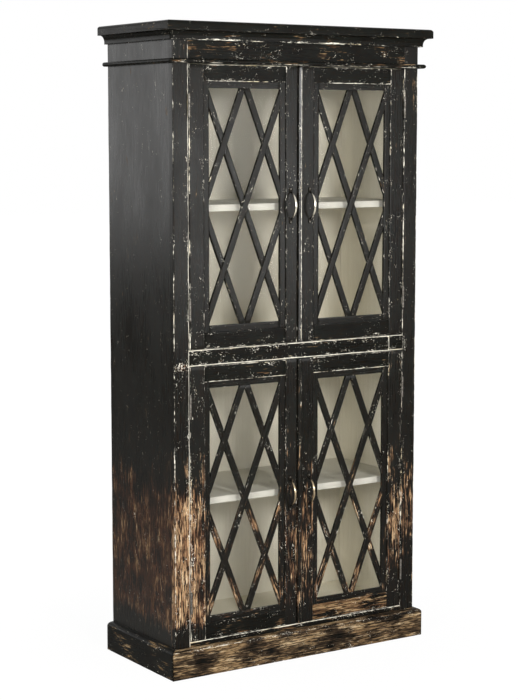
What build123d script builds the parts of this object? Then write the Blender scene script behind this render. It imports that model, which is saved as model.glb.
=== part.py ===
"""Four-door lattice armoire: a painted case with crown, bead and plinth mouldings,
and two pairs of inset glazed doors on butt hinges.

Millimetres, +Z up, front towards -Y. The origin is on the floor, under the middle
of the overall box.
"""

import os
from math import atan2, degrees, hypot

from build123d import *

# Overall size, across the top board and from the floor to its upper face
OVERALL_WIDTH = 1040.0
OVERALL_DEPTH = 457.0
OVERALL_HEIGHT = 2100.0

# Crown: top board with a rounded upper arris, and the cove moulding under it
CROWN_OVERHANG = 37.0
TOP_BOARD_T = 30.0
TOP_ARRIS_R = 10.0
COVE_H = 28.0
COVE_TOP_OUT = 27.0
COVE_FOOT_OUT = 12.0
COVE_FOOT_H = 6.0

# Nosing bead above the doors
BEAD_H = 14.0
BEAD_OUT = 20.0

# Plinth with a rounded top edge
PLINTH_H = 96.0
PLINTH_OUT = 23.0
PLINTH_ROUND_H = 13.0
PLINTH_ROUND_W = 19.0

# Case boards
SIDE_T = 20.0
BACK_T = 8.0
BACK_RABBET_W = 10.0
DECK_T = 22.0
DECK_HOUSING = 6.0
HOUSING_CLEAR = 0.2

# Face frame, from the floor up
FACE_T = 22.0
STILE_W = 56.0
BOTTOM_RAIL_TOP = 112.0
BOTTOM_RAIL_H = 60.0
LOWER_OPENING_H = 902.0
MIDDLE_RAIL_H = 51.0
FRIEZE_H = 100.0

# Mortise and tenon joints of the face frame and the doors
TENON_L = 28.0
TENON_T = 7.0
TENON_SHOULDER = 8.0
TENON_CLEAR = 0.2

# Loose shelves on cleats
SHELF_T = 22.0
SHELF_RISE = 438.0
SHELF_SETBACK = 40.0
SHELF_CLEAR = 0.5
CLEAT = 18.0
CLEAT_SCREW_MARGIN = 50.0
CLEAT_SCREW_BITE = 12.0

# Doors
HINGE_GAP = 3.0
DOOR_GAP = 2.5
STOP_CLEAR = 0.4
DOOR_STILE_W = 55.0
DOOR_RAIL_H = 52.0
MEETING_FACE_W = 48.0
MEETING_GAP = 3.0
MEETING_BEAD_W = 16.0
MEETING_BEAD_OUT = 8.0

# Lattice, glass and glazing beads, stacked behind a lip of the door frame
LIP_T = 4.0
REBATE_W = 10.0
PANEL_CLEAR = 0.5
LATTICE_T = 10.0
LATTICE_BORDER = 21.0
BAR_W = 21.0
GLASS_T = 3.0
GLAZING_BEAD_W = 14.0

# Butt hinges, with the knuckles standing in front of the door face
HINGE_H = 70.0
HINGE_INSET = 130.0
LEAF_T = 1.3
LEAF_W = 19.0
KNUCKLE_R = 4.0
KNUCKLE_COUNT = 5
KNUCKLE_GAP = 0.3
KNUCKLE_CLEAR = 0.5
PIN_R = 1.7
PIN_CLEAR = 0.05
PIN_HEAD_R = 2.8
PIN_HEAD_H = 1.8
HINGE_SCREW_PITCH = 25.0
HINGE_SCREW_STAGGER = 3.0
HINGE_SCREW_L = 14.0

# Bow pulls
HANDLE_FROM_EDGE = 18.0
BOW_LENGTH = 88.0
BOW_OUT = 32.0
BOW_R = 4.0
FOOT_L = 19.0
FOOT_W = 13.0
FOOT_T = 3.0
FOOT_CENTRE = 50.0
FOOT_SCREW = 54.0
HANDLE_SCREW_L = 15.0

# Magnetic catches and their strike plates
CATCH_FROM_CENTRE = 33.0
CATCH_W = 40.0
CATCH_T = 14.0
CATCH_ABOVE = 16.0
CATCH_BELOW = 14.0
CATCH_SCREW_PITCH = 24.0
CATCH_SCREW_BITE = 9.0
STRIKE_W = 36.0
STRIKE_H = 9.0
STRIKE_T = 1.2
STRIKE_SCREW_L = 6.0

# Countersunk screws
SCREW_HEAD_R = 2.6
SCREW_HEAD_H = 1.2
SCREW_SHANK_R = 1.4
SCREW_CLEAR = 0.1

# Planes that several pieces share
CASE_HALF_W = OVERALL_WIDTH / 2 - CROWN_OVERHANG
INSIDE_HALF_W = CASE_HALF_W - SIDE_T
FRONT = CROWN_OVERHANG - OVERALL_DEPTH / 2
FACE_BACK = FRONT + FACE_T
BACK = OVERALL_DEPTH / 2
BACK_FACE = BACK - BACK_T
CASE_TOP = OVERALL_HEIGHT - TOP_BOARD_T
OPEN_HALF_W = CASE_HALF_W - STILE_W
LOWER_OPENING = (BOTTOM_RAIL_TOP, BOTTOM_RAIL_TOP + LOWER_OPENING_H)
UPPER_OPENING = (LOWER_OPENING[1] + MIDDLE_RAIL_H, CASE_TOP - FRIEZE_H)
OPENINGS = {"lower": LOWER_OPENING, "upper": UPPER_OPENING}
SIDES = {"left": -1, "right": 1}
DOOR_BACK = FACE_BACK - STOP_CLEAR
PIN_Y = FRONT - KNUCKLE_R - KNUCKLE_CLEAR
FOOT_ALIGN = (Align.CENTER, Align.CENTER, Align.MIN)


def board(x, y, z):
    """Solid between pairs of x, y and z values, each pair in either order."""
    spans = (x, y, z)
    centre = [(a + b) / 2 for a, b in spans]
    return Pos(*centre) * Box(*[abs(b - a) for a, b in spans])


def grown(span, by):
    """Span (low, high) made larger at both ends, or smaller if by is negative."""
    return span[0] - by, span[1] + by


def middle(span):
    """Middle of a span."""
    return (span[0] + span[1]) / 2


def screw(at, into, length, clearance=0.0):
    """Countersunk screw with its head flush at a point; its hole, with a clearance."""
    head = Cone(SCREW_HEAD_R + clearance, SCREW_SHANK_R + clearance, SCREW_HEAD_H, align=FOOT_ALIGN)
    shank = Cylinder(SCREW_SHANK_R + clearance, length + clearance, align=FOOT_ALIGN)
    return Plane(origin=at, z_dir=into) * (head + shank)


def screws(places):
    """Screws at a list of (point, direction, length)."""
    return [screw(*place) for place in places]


def drilled(piece, places):
    """Piece with the holes of the screws at these places."""
    return piece - [screw(*place, clearance=SCREW_CLEAR) for place in places]


def tenon(x_shoulder, x_sign, z, clearance=0.0):
    """Tenon beyond a rail's shoulder over a span of z; its mortise, with a clearance."""
    y_mid = FRONT + FACE_T / 2
    return board(
        (x_shoulder, x_shoulder + x_sign * (TENON_L + clearance)),
        grown((y_mid - TENON_T / 2, y_mid + TENON_T / 2), clearance),
        grown(z, clearance),
    )


# Case

def face_rails():
    """Spans of z of the three face-frame rails."""
    return {
        "bottom_rail": (BOTTOM_RAIL_TOP - BOTTOM_RAIL_H, BOTTOM_RAIL_TOP),
        "middle_rail": (LOWER_OPENING[1], UPPER_OPENING[0]),
        "frieze_rail": (UPPER_OPENING[1], CASE_TOP),
    }


def shelf_levels():
    """Heights of the undersides of the two loose shelves."""
    return {name: opening[0] + SHELF_RISE for name, opening in OPENINGS.items()}


def cleat_screws(sign):
    """Places of the screws that hold one side's cleats."""
    x = sign * (INSIDE_HALF_W - CLEAT)
    ends = (FRONT + SHELF_SETBACK + CLEAT_SCREW_MARGIN, BACK_FACE - CLEAT_SCREW_MARGIN)
    length = CLEAT + CLEAT_SCREW_BITE
    return [
        ((x, y, level - CLEAT / 2), (sign, 0, 0), length)
        for level in shelf_levels().values()
        for y in ends
    ]


def side_panel(sign):
    """Side panel, housed for the two decks and rabbeted for the back."""
    panel = board((sign * INSIDE_HALF_W, sign * CASE_HALF_W), (FACE_BACK, BACK), (0, CASE_TOP))
    rabbet_x = sign * INSIDE_HALF_W, sign * (CASE_HALF_W - BACK_RABBET_W + HOUSING_CLEAR)
    panel -= board(rabbet_x, (BACK_FACE, BACK), (0, CASE_TOP))
    housing_x = sign * INSIDE_HALF_W, sign * (INSIDE_HALF_W + DECK_HOUSING + HOUSING_CLEAR)
    for opening in OPENINGS.values():
        panel -= board(housing_x, (FACE_BACK, BACK_FACE), (opening[0] - DECK_T, opening[0]))
    return drilled(panel, cleat_screws(sign))


def deck(opening):
    """Fixed panel level with the foot of an opening, housed in the sides."""
    half = INSIDE_HALF_W + DECK_HOUSING
    return board((-half, half), (FACE_BACK, BACK_FACE), (opening[0] - DECK_T, opening[0]))


def back_panel():
    """Back panel in the rabbets of the sides, from the bottom panel to the top board."""
    half = CASE_HALF_W - BACK_RABBET_W
    return board((-half, half), (BACK_FACE, BACK), (LOWER_OPENING[0] - DECK_T, CASE_TOP))


def shelf(level):
    """Loose shelf that rests on its cleats."""
    half = INSIDE_HALF_W - SHELF_CLEAR
    depth = (FRONT + SHELF_SETBACK, BACK_FACE - SHELF_CLEAR)
    return board((-half, half), depth, (level, level + SHELF_T))


def cleats():
    """Cleats under both ends of both shelves."""
    pieces = []
    for sign in SIDES.values():
        x = sign * (INSIDE_HALF_W - CLEAT), sign * INSIDE_HALF_W
        for level in shelf_levels().values():
            strip = board(x, (FRONT + SHELF_SETBACK, BACK_FACE), (level - CLEAT, level))
            pieces.append(drilled(strip, cleat_screws(sign)))
    return pieces


def face_stile(sign):
    """Full-height stile of the face frame, mortised for the rails."""
    x = sign * OPEN_HALF_W, sign * CASE_HALF_W
    stile = board(x, (FRONT, FACE_BACK), (0, CASE_TOP))
    for z in face_rails().values():
        stile -= tenon(x[0], sign, grown(z, -TENON_SHOULDER), TENON_CLEAR)
    return drilled(stile, case_hinge_screws(sign))


def face_rail(z):
    """Rail of the face frame with a tenon at each end."""
    rail = board((-OPEN_HALF_W, OPEN_HALF_W), (FRONT, FACE_BACK), z)
    for sign in SIDES.values():
        rail += tenon(sign * OPEN_HALF_W, sign, grown(z, -TENON_SHOULDER))
    return drilled(rail, [place for opening in OPENINGS.values() for place in catch_screws(opening)])


# Mouldings

def mitred(outline, projection):
    """Front length and two returns of a moulding, mitred at the front corners.

    The outline is drawn as distance out from the case, then height.
    """
    profile = make_face(outline)
    reach = CASE_HALF_W + projection
    z = (0, OVERALL_HEIGHT)
    front_plane = Plane(origin=(reach, FRONT, 0), x_dir=(0, -1, 0), z_dir=(-1, 0, 0))
    front = extrude(front_plane * profile, amount=2 * reach)
    side_plane = Plane(origin=(-CASE_HALF_W, FRONT - projection, 0), x_dir=(-1, 0, 0), z_dir=(0, 1, 0))
    left = extrude(side_plane * profile, amount=BACK - FRONT + projection)
    mitre = Polyline(
        (-CASE_HALF_W, FRONT),
        (CASE_HALF_W, FRONT),
        (reach, FRONT - projection),
        (-reach, FRONT - projection),
        close=True,
    )
    front_zone = extrude(make_face(mitre), amount=z[1])
    front &= front_zone
    left -= front_zone
    return front, left, mirror(left, about=Plane.YZ)


def cove():
    """Hollow moulding under the top board."""
    foot = CASE_TOP - COVE_H
    arc_foot = foot + COVE_FOOT_H
    hollow_w = COVE_TOP_OUT - COVE_FOOT_OUT
    hollow_h = CASE_TOP - arc_foot
    hollow = EllipticalCenterArc((COVE_TOP_OUT, arc_foot), hollow_w, hollow_h, 90, arc_size=90)
    rest = Polyline((COVE_FOOT_OUT, arc_foot), (COVE_FOOT_OUT, foot), (0, foot), (0, CASE_TOP),
                    (COVE_TOP_OUT, CASE_TOP))
    return mitred(hollow + rest, COVE_TOP_OUT)


def nosing():
    """Half-round nosing bead at the foot of the frieze."""
    foot = UPPER_OPENING[1]
    radius = BEAD_H / 2
    neck = BEAD_OUT - radius
    nose = ThreePointArc((neck, foot), (BEAD_OUT, foot + radius), (neck, foot + BEAD_H))
    rest = Polyline((neck, foot + BEAD_H), (0, foot + BEAD_H), (0, foot), (neck, foot))
    return mitred(nose + rest, BEAD_OUT)


def plinth():
    """Plinth boards with a rounded top edge."""
    shoulder = PLINTH_H - PLINTH_ROUND_H
    inner = PLINTH_OUT - PLINTH_ROUND_W
    round_top = EllipticalCenterArc((inner, shoulder), PLINTH_ROUND_W, PLINTH_ROUND_H, 0, arc_size=90)
    rest = Polyline((inner, PLINTH_H), (0, PLINTH_H), (0, 0), (PLINTH_OUT, 0), (PLINTH_OUT, shoulder))
    return mitred(round_top + rest, PLINTH_OUT)


def top_board():
    """Top board, rounded on the upper arris of its front and ends."""
    half = OVERALL_WIDTH / 2
    slab = board((-half, half), (-OVERALL_DEPTH / 2, BACK), (CASE_TOP, OVERALL_HEIGHT))
    upper = slab.faces().sort_by(Axis.Z)[-1].edges()
    return fillet(upper - upper.sort_by(Axis.Y)[-1:], TOP_ARRIS_R)


# Hinges and catches

def hinge_levels(opening):
    """Heights of the middles of a door's two hinges."""
    return [opening[0] + HINGE_INSET, opening[1] - HINGE_INSET]


def leaf_screws(x_face, into, opening):
    """Places of the screws of one leaf at each hinge of a door."""
    y_mid = FRONT + LEAF_W / 2
    return [
        ((x_face, y_mid + stagger, level + offset), into, HINGE_SCREW_L)
        for level in hinge_levels(opening)
        for offset, stagger in (
            (-HINGE_SCREW_PITCH, HINGE_SCREW_STAGGER),
            (0.0, -HINGE_SCREW_STAGGER),
            (HINGE_SCREW_PITCH, HINGE_SCREW_STAGGER),
        )
    ]


def case_hinge_screws(sign):
    """Places of the case-leaf screws on one side."""
    x_face = sign * (OPEN_HALF_W - LEAF_T)
    return [place for opening in OPENINGS.values() for place in leaf_screws(x_face, (sign, 0, 0), opening)]


def door_hinge_screws(sign, opening):
    """Places of the door-leaf screws of one door."""
    x_face = sign * (OPEN_HALF_W - HINGE_GAP + LEAF_T)
    return leaf_screws(x_face, (-sign, 0, 0), opening)


def pin_x(sign):
    """Hinge axis, in the middle of the gap beside the door."""
    return sign * (OPEN_HALF_W - HINGE_GAP / 2)


def leaf(sign, level, x_plate, first_knuckle, places):
    """Hinge leaf: a plate in the gap and every second knuckle of the barrel."""
    z = (level - HINGE_H / 2, level + HINGE_H / 2)
    y_plate = FRONT + KNUCKLE_CLEAR
    plate = board(x_plate, (y_plate, FRONT + LEAF_W), z)
    pitch = HINGE_H / KNUCKLE_COUNT
    for index in range(first_knuckle, KNUCKLE_COUNT, 2):
        span = grown((z[0] + index * pitch, z[0] + (index + 1) * pitch), -KNUCKLE_GAP / 2)
        plate += board(x_plate, (PIN_Y, y_plate), span)
        barrel = Cylinder(KNUCKLE_R, span[1] - span[0], align=FOOT_ALIGN)
        plate += Pos(pin_x(sign), PIN_Y, span[0]) * barrel
    plate -= Pos(pin_x(sign), PIN_Y, level) * Cylinder(PIN_R + PIN_CLEAR, HINGE_H)
    return drilled(plate, places)


def case_leaf(sign, level):
    """Leaf screwed to the face-frame stile, with the outer knuckles."""
    x_plate = sign * (OPEN_HALF_W - LEAF_T), sign * OPEN_HALF_W
    return leaf(sign, level, x_plate, 0, case_hinge_screws(sign))


def door_leaf(sign, level, opening):
    """Leaf screwed to the door's edge, with the inner knuckles."""
    x_edge = OPEN_HALF_W - HINGE_GAP
    x_plate = sign * x_edge, sign * (x_edge + LEAF_T)
    return leaf(sign, level, x_plate, 1, door_hinge_screws(sign, opening))


def hinge_pin(sign, level):
    """Headed pin through the barrel, carried on the case leaf's top knuckle."""
    top = level + HINGE_H / 2 - KNUCKLE_GAP / 2
    shank = Pos(0, 0, level - HINGE_H / 2) * Cylinder(PIN_R, top - level + HINGE_H / 2, align=FOOT_ALIGN)
    head = Pos(0, 0, top) * Cylinder(PIN_HEAD_R, PIN_HEAD_H, align=FOOT_ALIGN)
    return Pos(pin_x(sign), PIN_Y, 0) * (shank + head)


def catch_screws(opening):
    """Places of the screws that hold the two catches at the head of an opening."""
    y_face = FACE_BACK + CATCH_T
    return [
        ((sign * CATCH_FROM_CENTRE + dx, y_face, opening[1] + CATCH_ABOVE / 2), (0, -1, 0),
         CATCH_T + CATCH_SCREW_BITE)
        for sign in SIDES.values()
        for dx in (-CATCH_SCREW_PITCH / 2, CATCH_SCREW_PITCH / 2)
    ]


def catch(sign, opening):
    """Catch block on the back of the rail above a door; the door closes against it."""
    x = sign * CATCH_FROM_CENTRE
    block = board(
        (x - CATCH_W / 2, x + CATCH_W / 2),
        (FACE_BACK, FACE_BACK + CATCH_T),
        (opening[1] - CATCH_BELOW, opening[1] + CATCH_ABOVE),
    )
    return drilled(block, catch_screws(opening))


# Doors

def door_edges(sign):
    """Door's span of x, and the span between its stiles, each (low, high)."""
    hinge_edge = sign * (OPEN_HALF_W - HINGE_GAP)
    free_edge = -MEETING_BEAD_W / 2
    if sign < 0:
        free_edge -= MEETING_GAP
    inner = sign * (OPEN_HALF_W - HINGE_GAP - DOOR_STILE_W), sign * (MEETING_BEAD_W / 2 + MEETING_FACE_W)
    return tuple(sorted((hinge_edge, free_edge))), tuple(sorted(inner))


def strike_screws(sign, opening):
    """Places of the screws of a door's strike plate."""
    return [
        ((sign * CATCH_FROM_CENTRE + dx, DOOR_BACK, strike_middle(opening)), (0, -1, 0), STRIKE_SCREW_L)
        for dx in (-CATCH_SCREW_PITCH / 2, CATCH_SCREW_PITCH / 2)
    ]


def strike_middle(opening):
    """Height of the middle of a strike plate, behind the foot of its catch."""
    return opening[1] - (DOOR_GAP + CATCH_BELOW) / 2


def strike(sign, opening):
    """Strike plate let in flush on the door's back."""
    x = sign * CATCH_FROM_CENTRE
    z = strike_middle(opening)
    return board(
        (x - STRIKE_W / 2, x + STRIKE_W / 2),
        (DOOR_BACK - STRIKE_T, DOOR_BACK),
        (z - STRIKE_H / 2, z + STRIKE_H / 2),
    )


def handle_place(sign, opening):
    """Middle of a door's pull on the door face."""
    x = sign * (MEETING_BEAD_W / 2 + MEETING_FACE_W - HANDLE_FROM_EDGE)
    return x, middle(opening)


def handle_screws(sign, opening):
    """Places of the screws through the feet of a pull."""
    x, z = handle_place(sign, opening)
    return [((x, FRONT - FOOT_T, z + dz), (0, 1, 0), HANDLE_SCREW_L) for dz in (-FOOT_SCREW, FOOT_SCREW)]


def handle(sign, opening):
    """Bow pull: a round bar bent to an arc between two flat feet."""
    x, z = handle_place(sign, opening)
    y_end = FRONT - FOOT_T / 2
    bow = ThreePointArc((x, y_end, z - BOW_LENGTH / 2), (x, FRONT - BOW_OUT, z), (x, y_end, z + BOW_LENGTH / 2))
    pull = sweep(Plane(origin=bow @ 0, z_dir=bow % 0) * Circle(BOW_R), path=bow)
    for dz in (-FOOT_CENTRE, FOOT_CENTRE):
        face = Plane(origin=(x, FRONT, z + dz), x_dir=(1, 0, 0), z_dir=(0, -1, 0))
        pull += extrude(face * RectangleRounded(FOOT_W, FOOT_L, FOOT_W / 2.1), amount=FOOT_T)
    return drilled(pull, handle_screws(sign, opening))


def lattice(x, z):
    """Border strips and half-lapped bars; x and z are the spans inside the door frame."""
    y = (FRONT + LIP_T, FRONT + LIP_T + LATTICE_T)
    lap = middle(y)
    rim_x, rim_z = (grown(span, REBATE_W - PANEL_CLEAR) for span in (x, z))
    open_x, open_z = (grown(span, -LATTICE_BORDER) for span in (x, z))
    mid_x, mid_z = middle(x), middle(z)

    def bar(start, end, keep_x, keep_z):
        run, rise = end[0] - start[0], end[1] - start[1]
        stick = Box(BAR_W, LATTICE_T, hypot(run, rise) + 2 * BAR_W)
        centre = Pos((start[0] + end[0]) / 2, lap, (start[1] + end[1]) / 2)
        return centre * Rot(0, degrees(atan2(run, rise)), 0) * stick & board(keep_x, y, keep_z)

    left, right = (open_x[0], mid_x), (mid_x, open_x[1])
    below, above = (open_z[0], mid_z), (mid_z, open_z[1])
    rising = [
        bar((x[0], z[0]), (x[1], z[1]), open_x, open_z),
        bar((x[0], mid_z), (mid_x, z[1]), left, above),
        bar((mid_x, z[0]), (x[1], mid_z), right, below),
    ]
    falling = [
        bar((x[0], z[1]), (x[1], z[0]), open_x, open_z),
        bar((mid_x, z[1]), (x[1], mid_z), right, above),
        bar((x[0], mid_z), (mid_x, z[0]), left, below),
    ]
    front_half = board(open_x, (y[0], lap), open_z)
    back_half = board(open_x, (lap, y[1]), open_z)
    lapped_rising = [one - [other & back_half for other in falling] for one in rising]
    lapped_falling = [one - [other & front_half for other in rising] for one in falling]
    strips = [
        board((rim_x[0], open_x[0]), y, rim_z),
        board((open_x[1], rim_x[1]), y, rim_z),
        board(open_x, y, (rim_z[0], open_z[0])),
        board(open_x, y, (open_z[1], rim_z[1])),
    ]
    return strips + lapped_rising + lapped_falling


def glazing(x, z):
    """Glass behind the lattice, and the four beads that hold it."""
    y_glass = FRONT + LIP_T + LATTICE_T
    y_bead = y_glass + GLASS_T
    rim_x, rim_z = (grown(span, REBATE_W - PANEL_CLEAR) for span in (x, z))
    clear_x, clear_z = (grown(span, -GLAZING_BEAD_W) for span in (rim_x, rim_z))
    y = (y_bead, DOOR_BACK)
    beads = [
        board((rim_x[0], clear_x[0]), y, rim_z),
        board((clear_x[1], rim_x[1]), y, rim_z),
        board(clear_x, y, (rim_z[0], clear_z[0])),
        board(clear_x, y, (clear_z[1], rim_z[1])),
    ]
    return board(rim_x, (y_glass, y_bead), rim_z), beads


def door_frame(sign, opening):
    """Stiles and rails of a door, rebated for the lattice and joined by tenons."""
    x, inner_x = door_edges(sign)
    z = grown(opening, -DOOR_GAP)
    inner_z = grown(z, -DOOR_RAIL_H)
    y = (FRONT, DOOR_BACK)
    rebate = board(grown(inner_x, REBATE_W), (FRONT + LIP_T, DOOR_BACK), grown(inner_z, REBATE_W))
    tenon_inset = REBATE_W + TENON_SHOULDER / 4
    tenon_spans = [
        (z[0] + TENON_SHOULDER, inner_z[0] - tenon_inset),
        (inner_z[1] + tenon_inset, z[1] - TENON_SHOULDER),
    ]
    places = door_hinge_screws(sign, opening) + handle_screws(sign, opening) + strike_screws(sign, opening)
    stiles = []
    for edge, shoulder, end in ((x[0], inner_x[0], -1), (x[1], inner_x[1], 1)):
        stile = board((edge, shoulder), y, z) - rebate - strike(sign, opening)
        stile -= [tenon(shoulder, end, span, TENON_CLEAR) for span in tenon_spans]
        stiles.append(drilled(stile, places))
    rails = []
    for span, ends in zip(tenon_spans, ((z[0], inner_z[0]), (inner_z[1], z[1]))):
        rail = board(inner_x, y, ends) - rebate - strike(sign, opening)
        rail += [tenon(inner_x[0], -1, span), tenon(inner_x[1], 1, span)]
        rails.append(drilled(rail, strike_screws(sign, opening)))
    return stiles, rails, inner_x, inner_z


def meeting_bead(opening):
    """Half-round strip along the free edge of a right-hand door."""
    z = grown(opening, -DOOR_GAP)
    half = MEETING_BEAD_W / 2
    nose = ThreePointArc((-half, FRONT), (0, FRONT - MEETING_BEAD_OUT), (half, FRONT))
    section = make_face(nose + Line((half, FRONT), (-half, FRONT)))
    return extrude(Pos(0, 0, z[0]) * section, amount=z[1] - z[0], dir=(0, 0, 1))


def door(level, hand):
    """All the pieces of one door, by node name."""
    sign, opening = SIDES[hand], OPENINGS[level]
    name = f"{level}_{hand}_door"
    stiles, rails, inner_x, inner_z = door_frame(sign, opening)
    glass, beads = glazing(inner_x, inner_z)
    places = door_hinge_screws(sign, opening) + handle_screws(sign, opening) + strike_screws(sign, opening)
    plate = drilled(strike(sign, opening), strike_screws(sign, opening))
    pieces = {
        f"{name}_stiles": stiles,
        f"{name}_rails": rails,
        f"{name}_lattice": lattice(inner_x, inner_z),
        f"{name}_glass": [glass],
        f"{name}_glazing_beads": beads,
        f"{name}_handle": [handle(sign, opening)],
        f"{name}_hinge_leaves": [door_leaf(sign, at, opening) for at in hinge_levels(opening)],
        f"{name}_fixings": screws(places) + [plate],
    }
    if hand == "right":
        pieces[f"{level}_meeting_bead"] = [meeting_bead(opening)]
    return pieces


def case():
    """All the pieces of the case, by node name."""
    pieces = {
        "back_panel": [back_panel()],
        "top_board": [top_board()],
        "bottom_panel": [deck(LOWER_OPENING)],
        "middle_shelf": [deck(UPPER_OPENING)],
        "shelf_cleats": cleats(),
    }
    for name, level in shelf_levels().items():
        pieces[f"{name}_shelf"] = [shelf(level)]
    for hand, sign in SIDES.items():
        pieces[f"{hand}_side_panel"] = [side_panel(sign)]
        pieces[f"{hand}_stile"] = [face_stile(sign)]
    for name, z in face_rails().items():
        pieces[name] = [face_rail(z)]
    for name, (front, left, right) in (("cove", cove()), ("bead", nosing()), ("plinth", plinth())):
        pieces[f"front_{name}"] = [front]
        pieces[f"{name}_returns"] = [left, right]
    hinges = [(sign, at) for sign in SIDES.values() for o in OPENINGS.values() for at in hinge_levels(o)]
    pieces["case_hinge_leaves"] = [case_leaf(sign, at) for sign, at in hinges]
    pieces["hinge_pins"] = [hinge_pin(sign, at) for sign, at in hinges]
    pieces["door_catches"] = [catch(sign, o) for sign in SIDES.values() for o in OPENINGS.values()]
    places = [place for o in OPENINGS.values() for place in catch_screws(o)]
    for sign in SIDES.values():
        places += case_hinge_screws(sign) + cleat_screws(sign)
    pieces["case_screws"] = screws(places)
    return pieces


def main():
    """Write one file of solids for each node."""
    os.makedirs("parts", exist_ok=True)
    nodes = case()
    for level in OPENINGS:
        for hand in SIDES:
            nodes.update(door(level, hand))
    for name, pieces in nodes.items():
        solids = [solid for piece in pieces for solid in piece.solids()]
        export_step(Compound(children=solids), f"parts/{name}.step")
        print(f"{name}: {len(solids)}")
    print(f"{len(nodes)} nodes")


main()
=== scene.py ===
"""Looks of a four-door lattice armoire: black paint worn through to a pale undercoat and
to bare wood, an ivory inside, brass bow pulls and glazed doors.

Metres, +Z up, front towards -Y, origin on the floor under the middle of the overall box.
"""

import logging
import math
from dataclasses import dataclass, field
from enum import Enum, IntEnum, StrEnum
from functools import partial
from typing import Callable, Optional, Sequence, Union

import bpy
import numpy as np
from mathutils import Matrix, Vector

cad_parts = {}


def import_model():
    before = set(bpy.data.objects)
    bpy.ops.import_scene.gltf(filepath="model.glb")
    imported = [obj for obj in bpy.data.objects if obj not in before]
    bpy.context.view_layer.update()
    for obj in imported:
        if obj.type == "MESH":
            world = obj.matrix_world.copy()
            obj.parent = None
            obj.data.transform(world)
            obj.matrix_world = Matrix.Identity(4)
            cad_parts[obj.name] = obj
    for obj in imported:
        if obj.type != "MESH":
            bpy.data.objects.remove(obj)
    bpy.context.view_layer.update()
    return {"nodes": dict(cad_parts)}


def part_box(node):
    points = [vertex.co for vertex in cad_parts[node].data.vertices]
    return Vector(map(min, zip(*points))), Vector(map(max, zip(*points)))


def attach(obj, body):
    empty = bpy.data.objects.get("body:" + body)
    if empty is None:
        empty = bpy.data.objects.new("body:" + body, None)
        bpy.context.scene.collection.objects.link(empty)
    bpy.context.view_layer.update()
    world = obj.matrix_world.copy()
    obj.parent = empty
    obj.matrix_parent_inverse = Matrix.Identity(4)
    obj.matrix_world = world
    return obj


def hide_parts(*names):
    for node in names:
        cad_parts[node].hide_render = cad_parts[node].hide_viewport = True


LOG = logging.getLogger("armoire")

CASE = "case"
MM = 0.001
ARRIS_REACH = 20 * MM      # how far from an arris its closeness is still recorded
HOLD = 5 * MM              # flat beside a rounded arris where the shading settles
CAP_RIM = 1.4 * MM         # rim of an end face that still counts as arris
ARC_STEPS = 3              # facets in a rounded arris
STATION_PITCH = 12 * MM    # spacing of cross-sections along a board
TIP_SHARE = 0.3            # how far into a rounded end one more cross-section lies
WANDER_STEP = 35 * MM      # length over which the radius of an arris changes
WANDER = 0.55              # share of the radius by which it changes
GRAIN_SHIFT = 4.0          # reach of the random shift that gives each board its own grain
SEED_SHIFT = 7             # lets the first letter of a name count in its seed
SMOOTH_ANGLE = math.radians(38)
SPOT_SPECKLE = 0.25        # share of a spot that goes into specks
SAME_LINE = 0.01 * MM      # points nearer than this lie on one line
KINK_CLEAR = 0.1 * MM      # a kink nearer than this to the side of a bar is left out
LAYERS = {"grain": 3, "arris": 1, "bare": 1, "rub": 1, "chips": 1}  # attributes and their widths

Spot = tuple[float, float, float, float]    # x, z, reach, share
Length = Union[float, np.ndarray]
Socket = bpy.types.NodeSocket
Tree = bpy.types.NodeTree


def ease(value: np.ndarray, start: float, end: float) -> np.ndarray:
    """Smooth step from 0 at start to 1 at end: 3t^2 - 2t^3.

    Args:
        value: numbers to ease.
        start: value that gives 0.
        end: value that gives 1; it may be below start.

    Returns:
        Eased numbers, as an array.
    """
    t = np.clip((value - start) / (end - start), 0.0, 1.0)
    return t * t * (3 - 2 * t)


def wobble(along: np.ndarray, step: float, rng: np.random.Generator) -> np.ndarray:
    """Random run along a length, between -1 and 1, straight from one random value to the next.

    Args:
        along: positions, rising.
        step: distance between the random values that are joined up.
        rng: source of the random values.

    Returns:
        One number for each position.
    """
    knots = np.arange(along[0] - step, along[-1] + 2 * step, step)
    return np.interp(along, knots, rng.uniform(-1, 1, len(knots)))


class Hand(StrEnum):
    """Side of the armoire, as seen from the front."""

    LEFT = "left"
    RIGHT = "right"


class Level(StrEnum):
    """Row of doors."""

    LOWER = "lower"
    UPPER = "upper"


class Along(Enum):
    """Axis that a board's length follows; the rows are across, through and along."""

    X = ((0, 1, 0), (0, 0, 1), (1, 0, 0))
    Y = ((0, 0, 1), (1, 0, 0), (0, 1, 0))
    Z = ((1, 0, 0), (0, 1, 0), (0, 0, 1))

    @property
    def rows(self) -> np.ndarray:
        """The three directions as an array."""
        return np.array(self.value, float)


class Coat(IntEnum):
    """Material index of a face of a case or door piece."""

    BLACK = 0
    IVORY = 1
    # Loose shelves: a darker, greyer copy of the ivory, partly painted shade
    SHELF = 2


class Place(Enum):
    """Kind of painted piece; the black wears in its own way on each."""

    UPRIGHT = "upright"
    LEVEL = "level"
    PLINTH = "plinth"
    STRIP = "strip"
    END_PANEL = "end panel"


@dataclass(frozen=True)
class Span:
    """Box of a CAD node, as its lowest and highest corners in metres."""

    lo: np.ndarray
    hi: np.ndarray

    @classmethod
    def of(cls, node: str) -> "Span":
        """Read the box of a node from the frame.

        Args:
            node: name of the CAD node.

        Returns:
            Its box.
        """
        lo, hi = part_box(node)
        return cls(np.array(lo), np.array(hi))

    def over(self, axis: int) -> tuple[float, float]:
        """Lowest and highest value on one axis."""
        return float(self.lo[axis]), float(self.hi[axis])

    @property
    def sides(self) -> tuple[tuple[float, float], ...]:
        """Lowest and highest value on x, on y and on z."""
        return tuple(self.over(axis) for axis in range(3))


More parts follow.
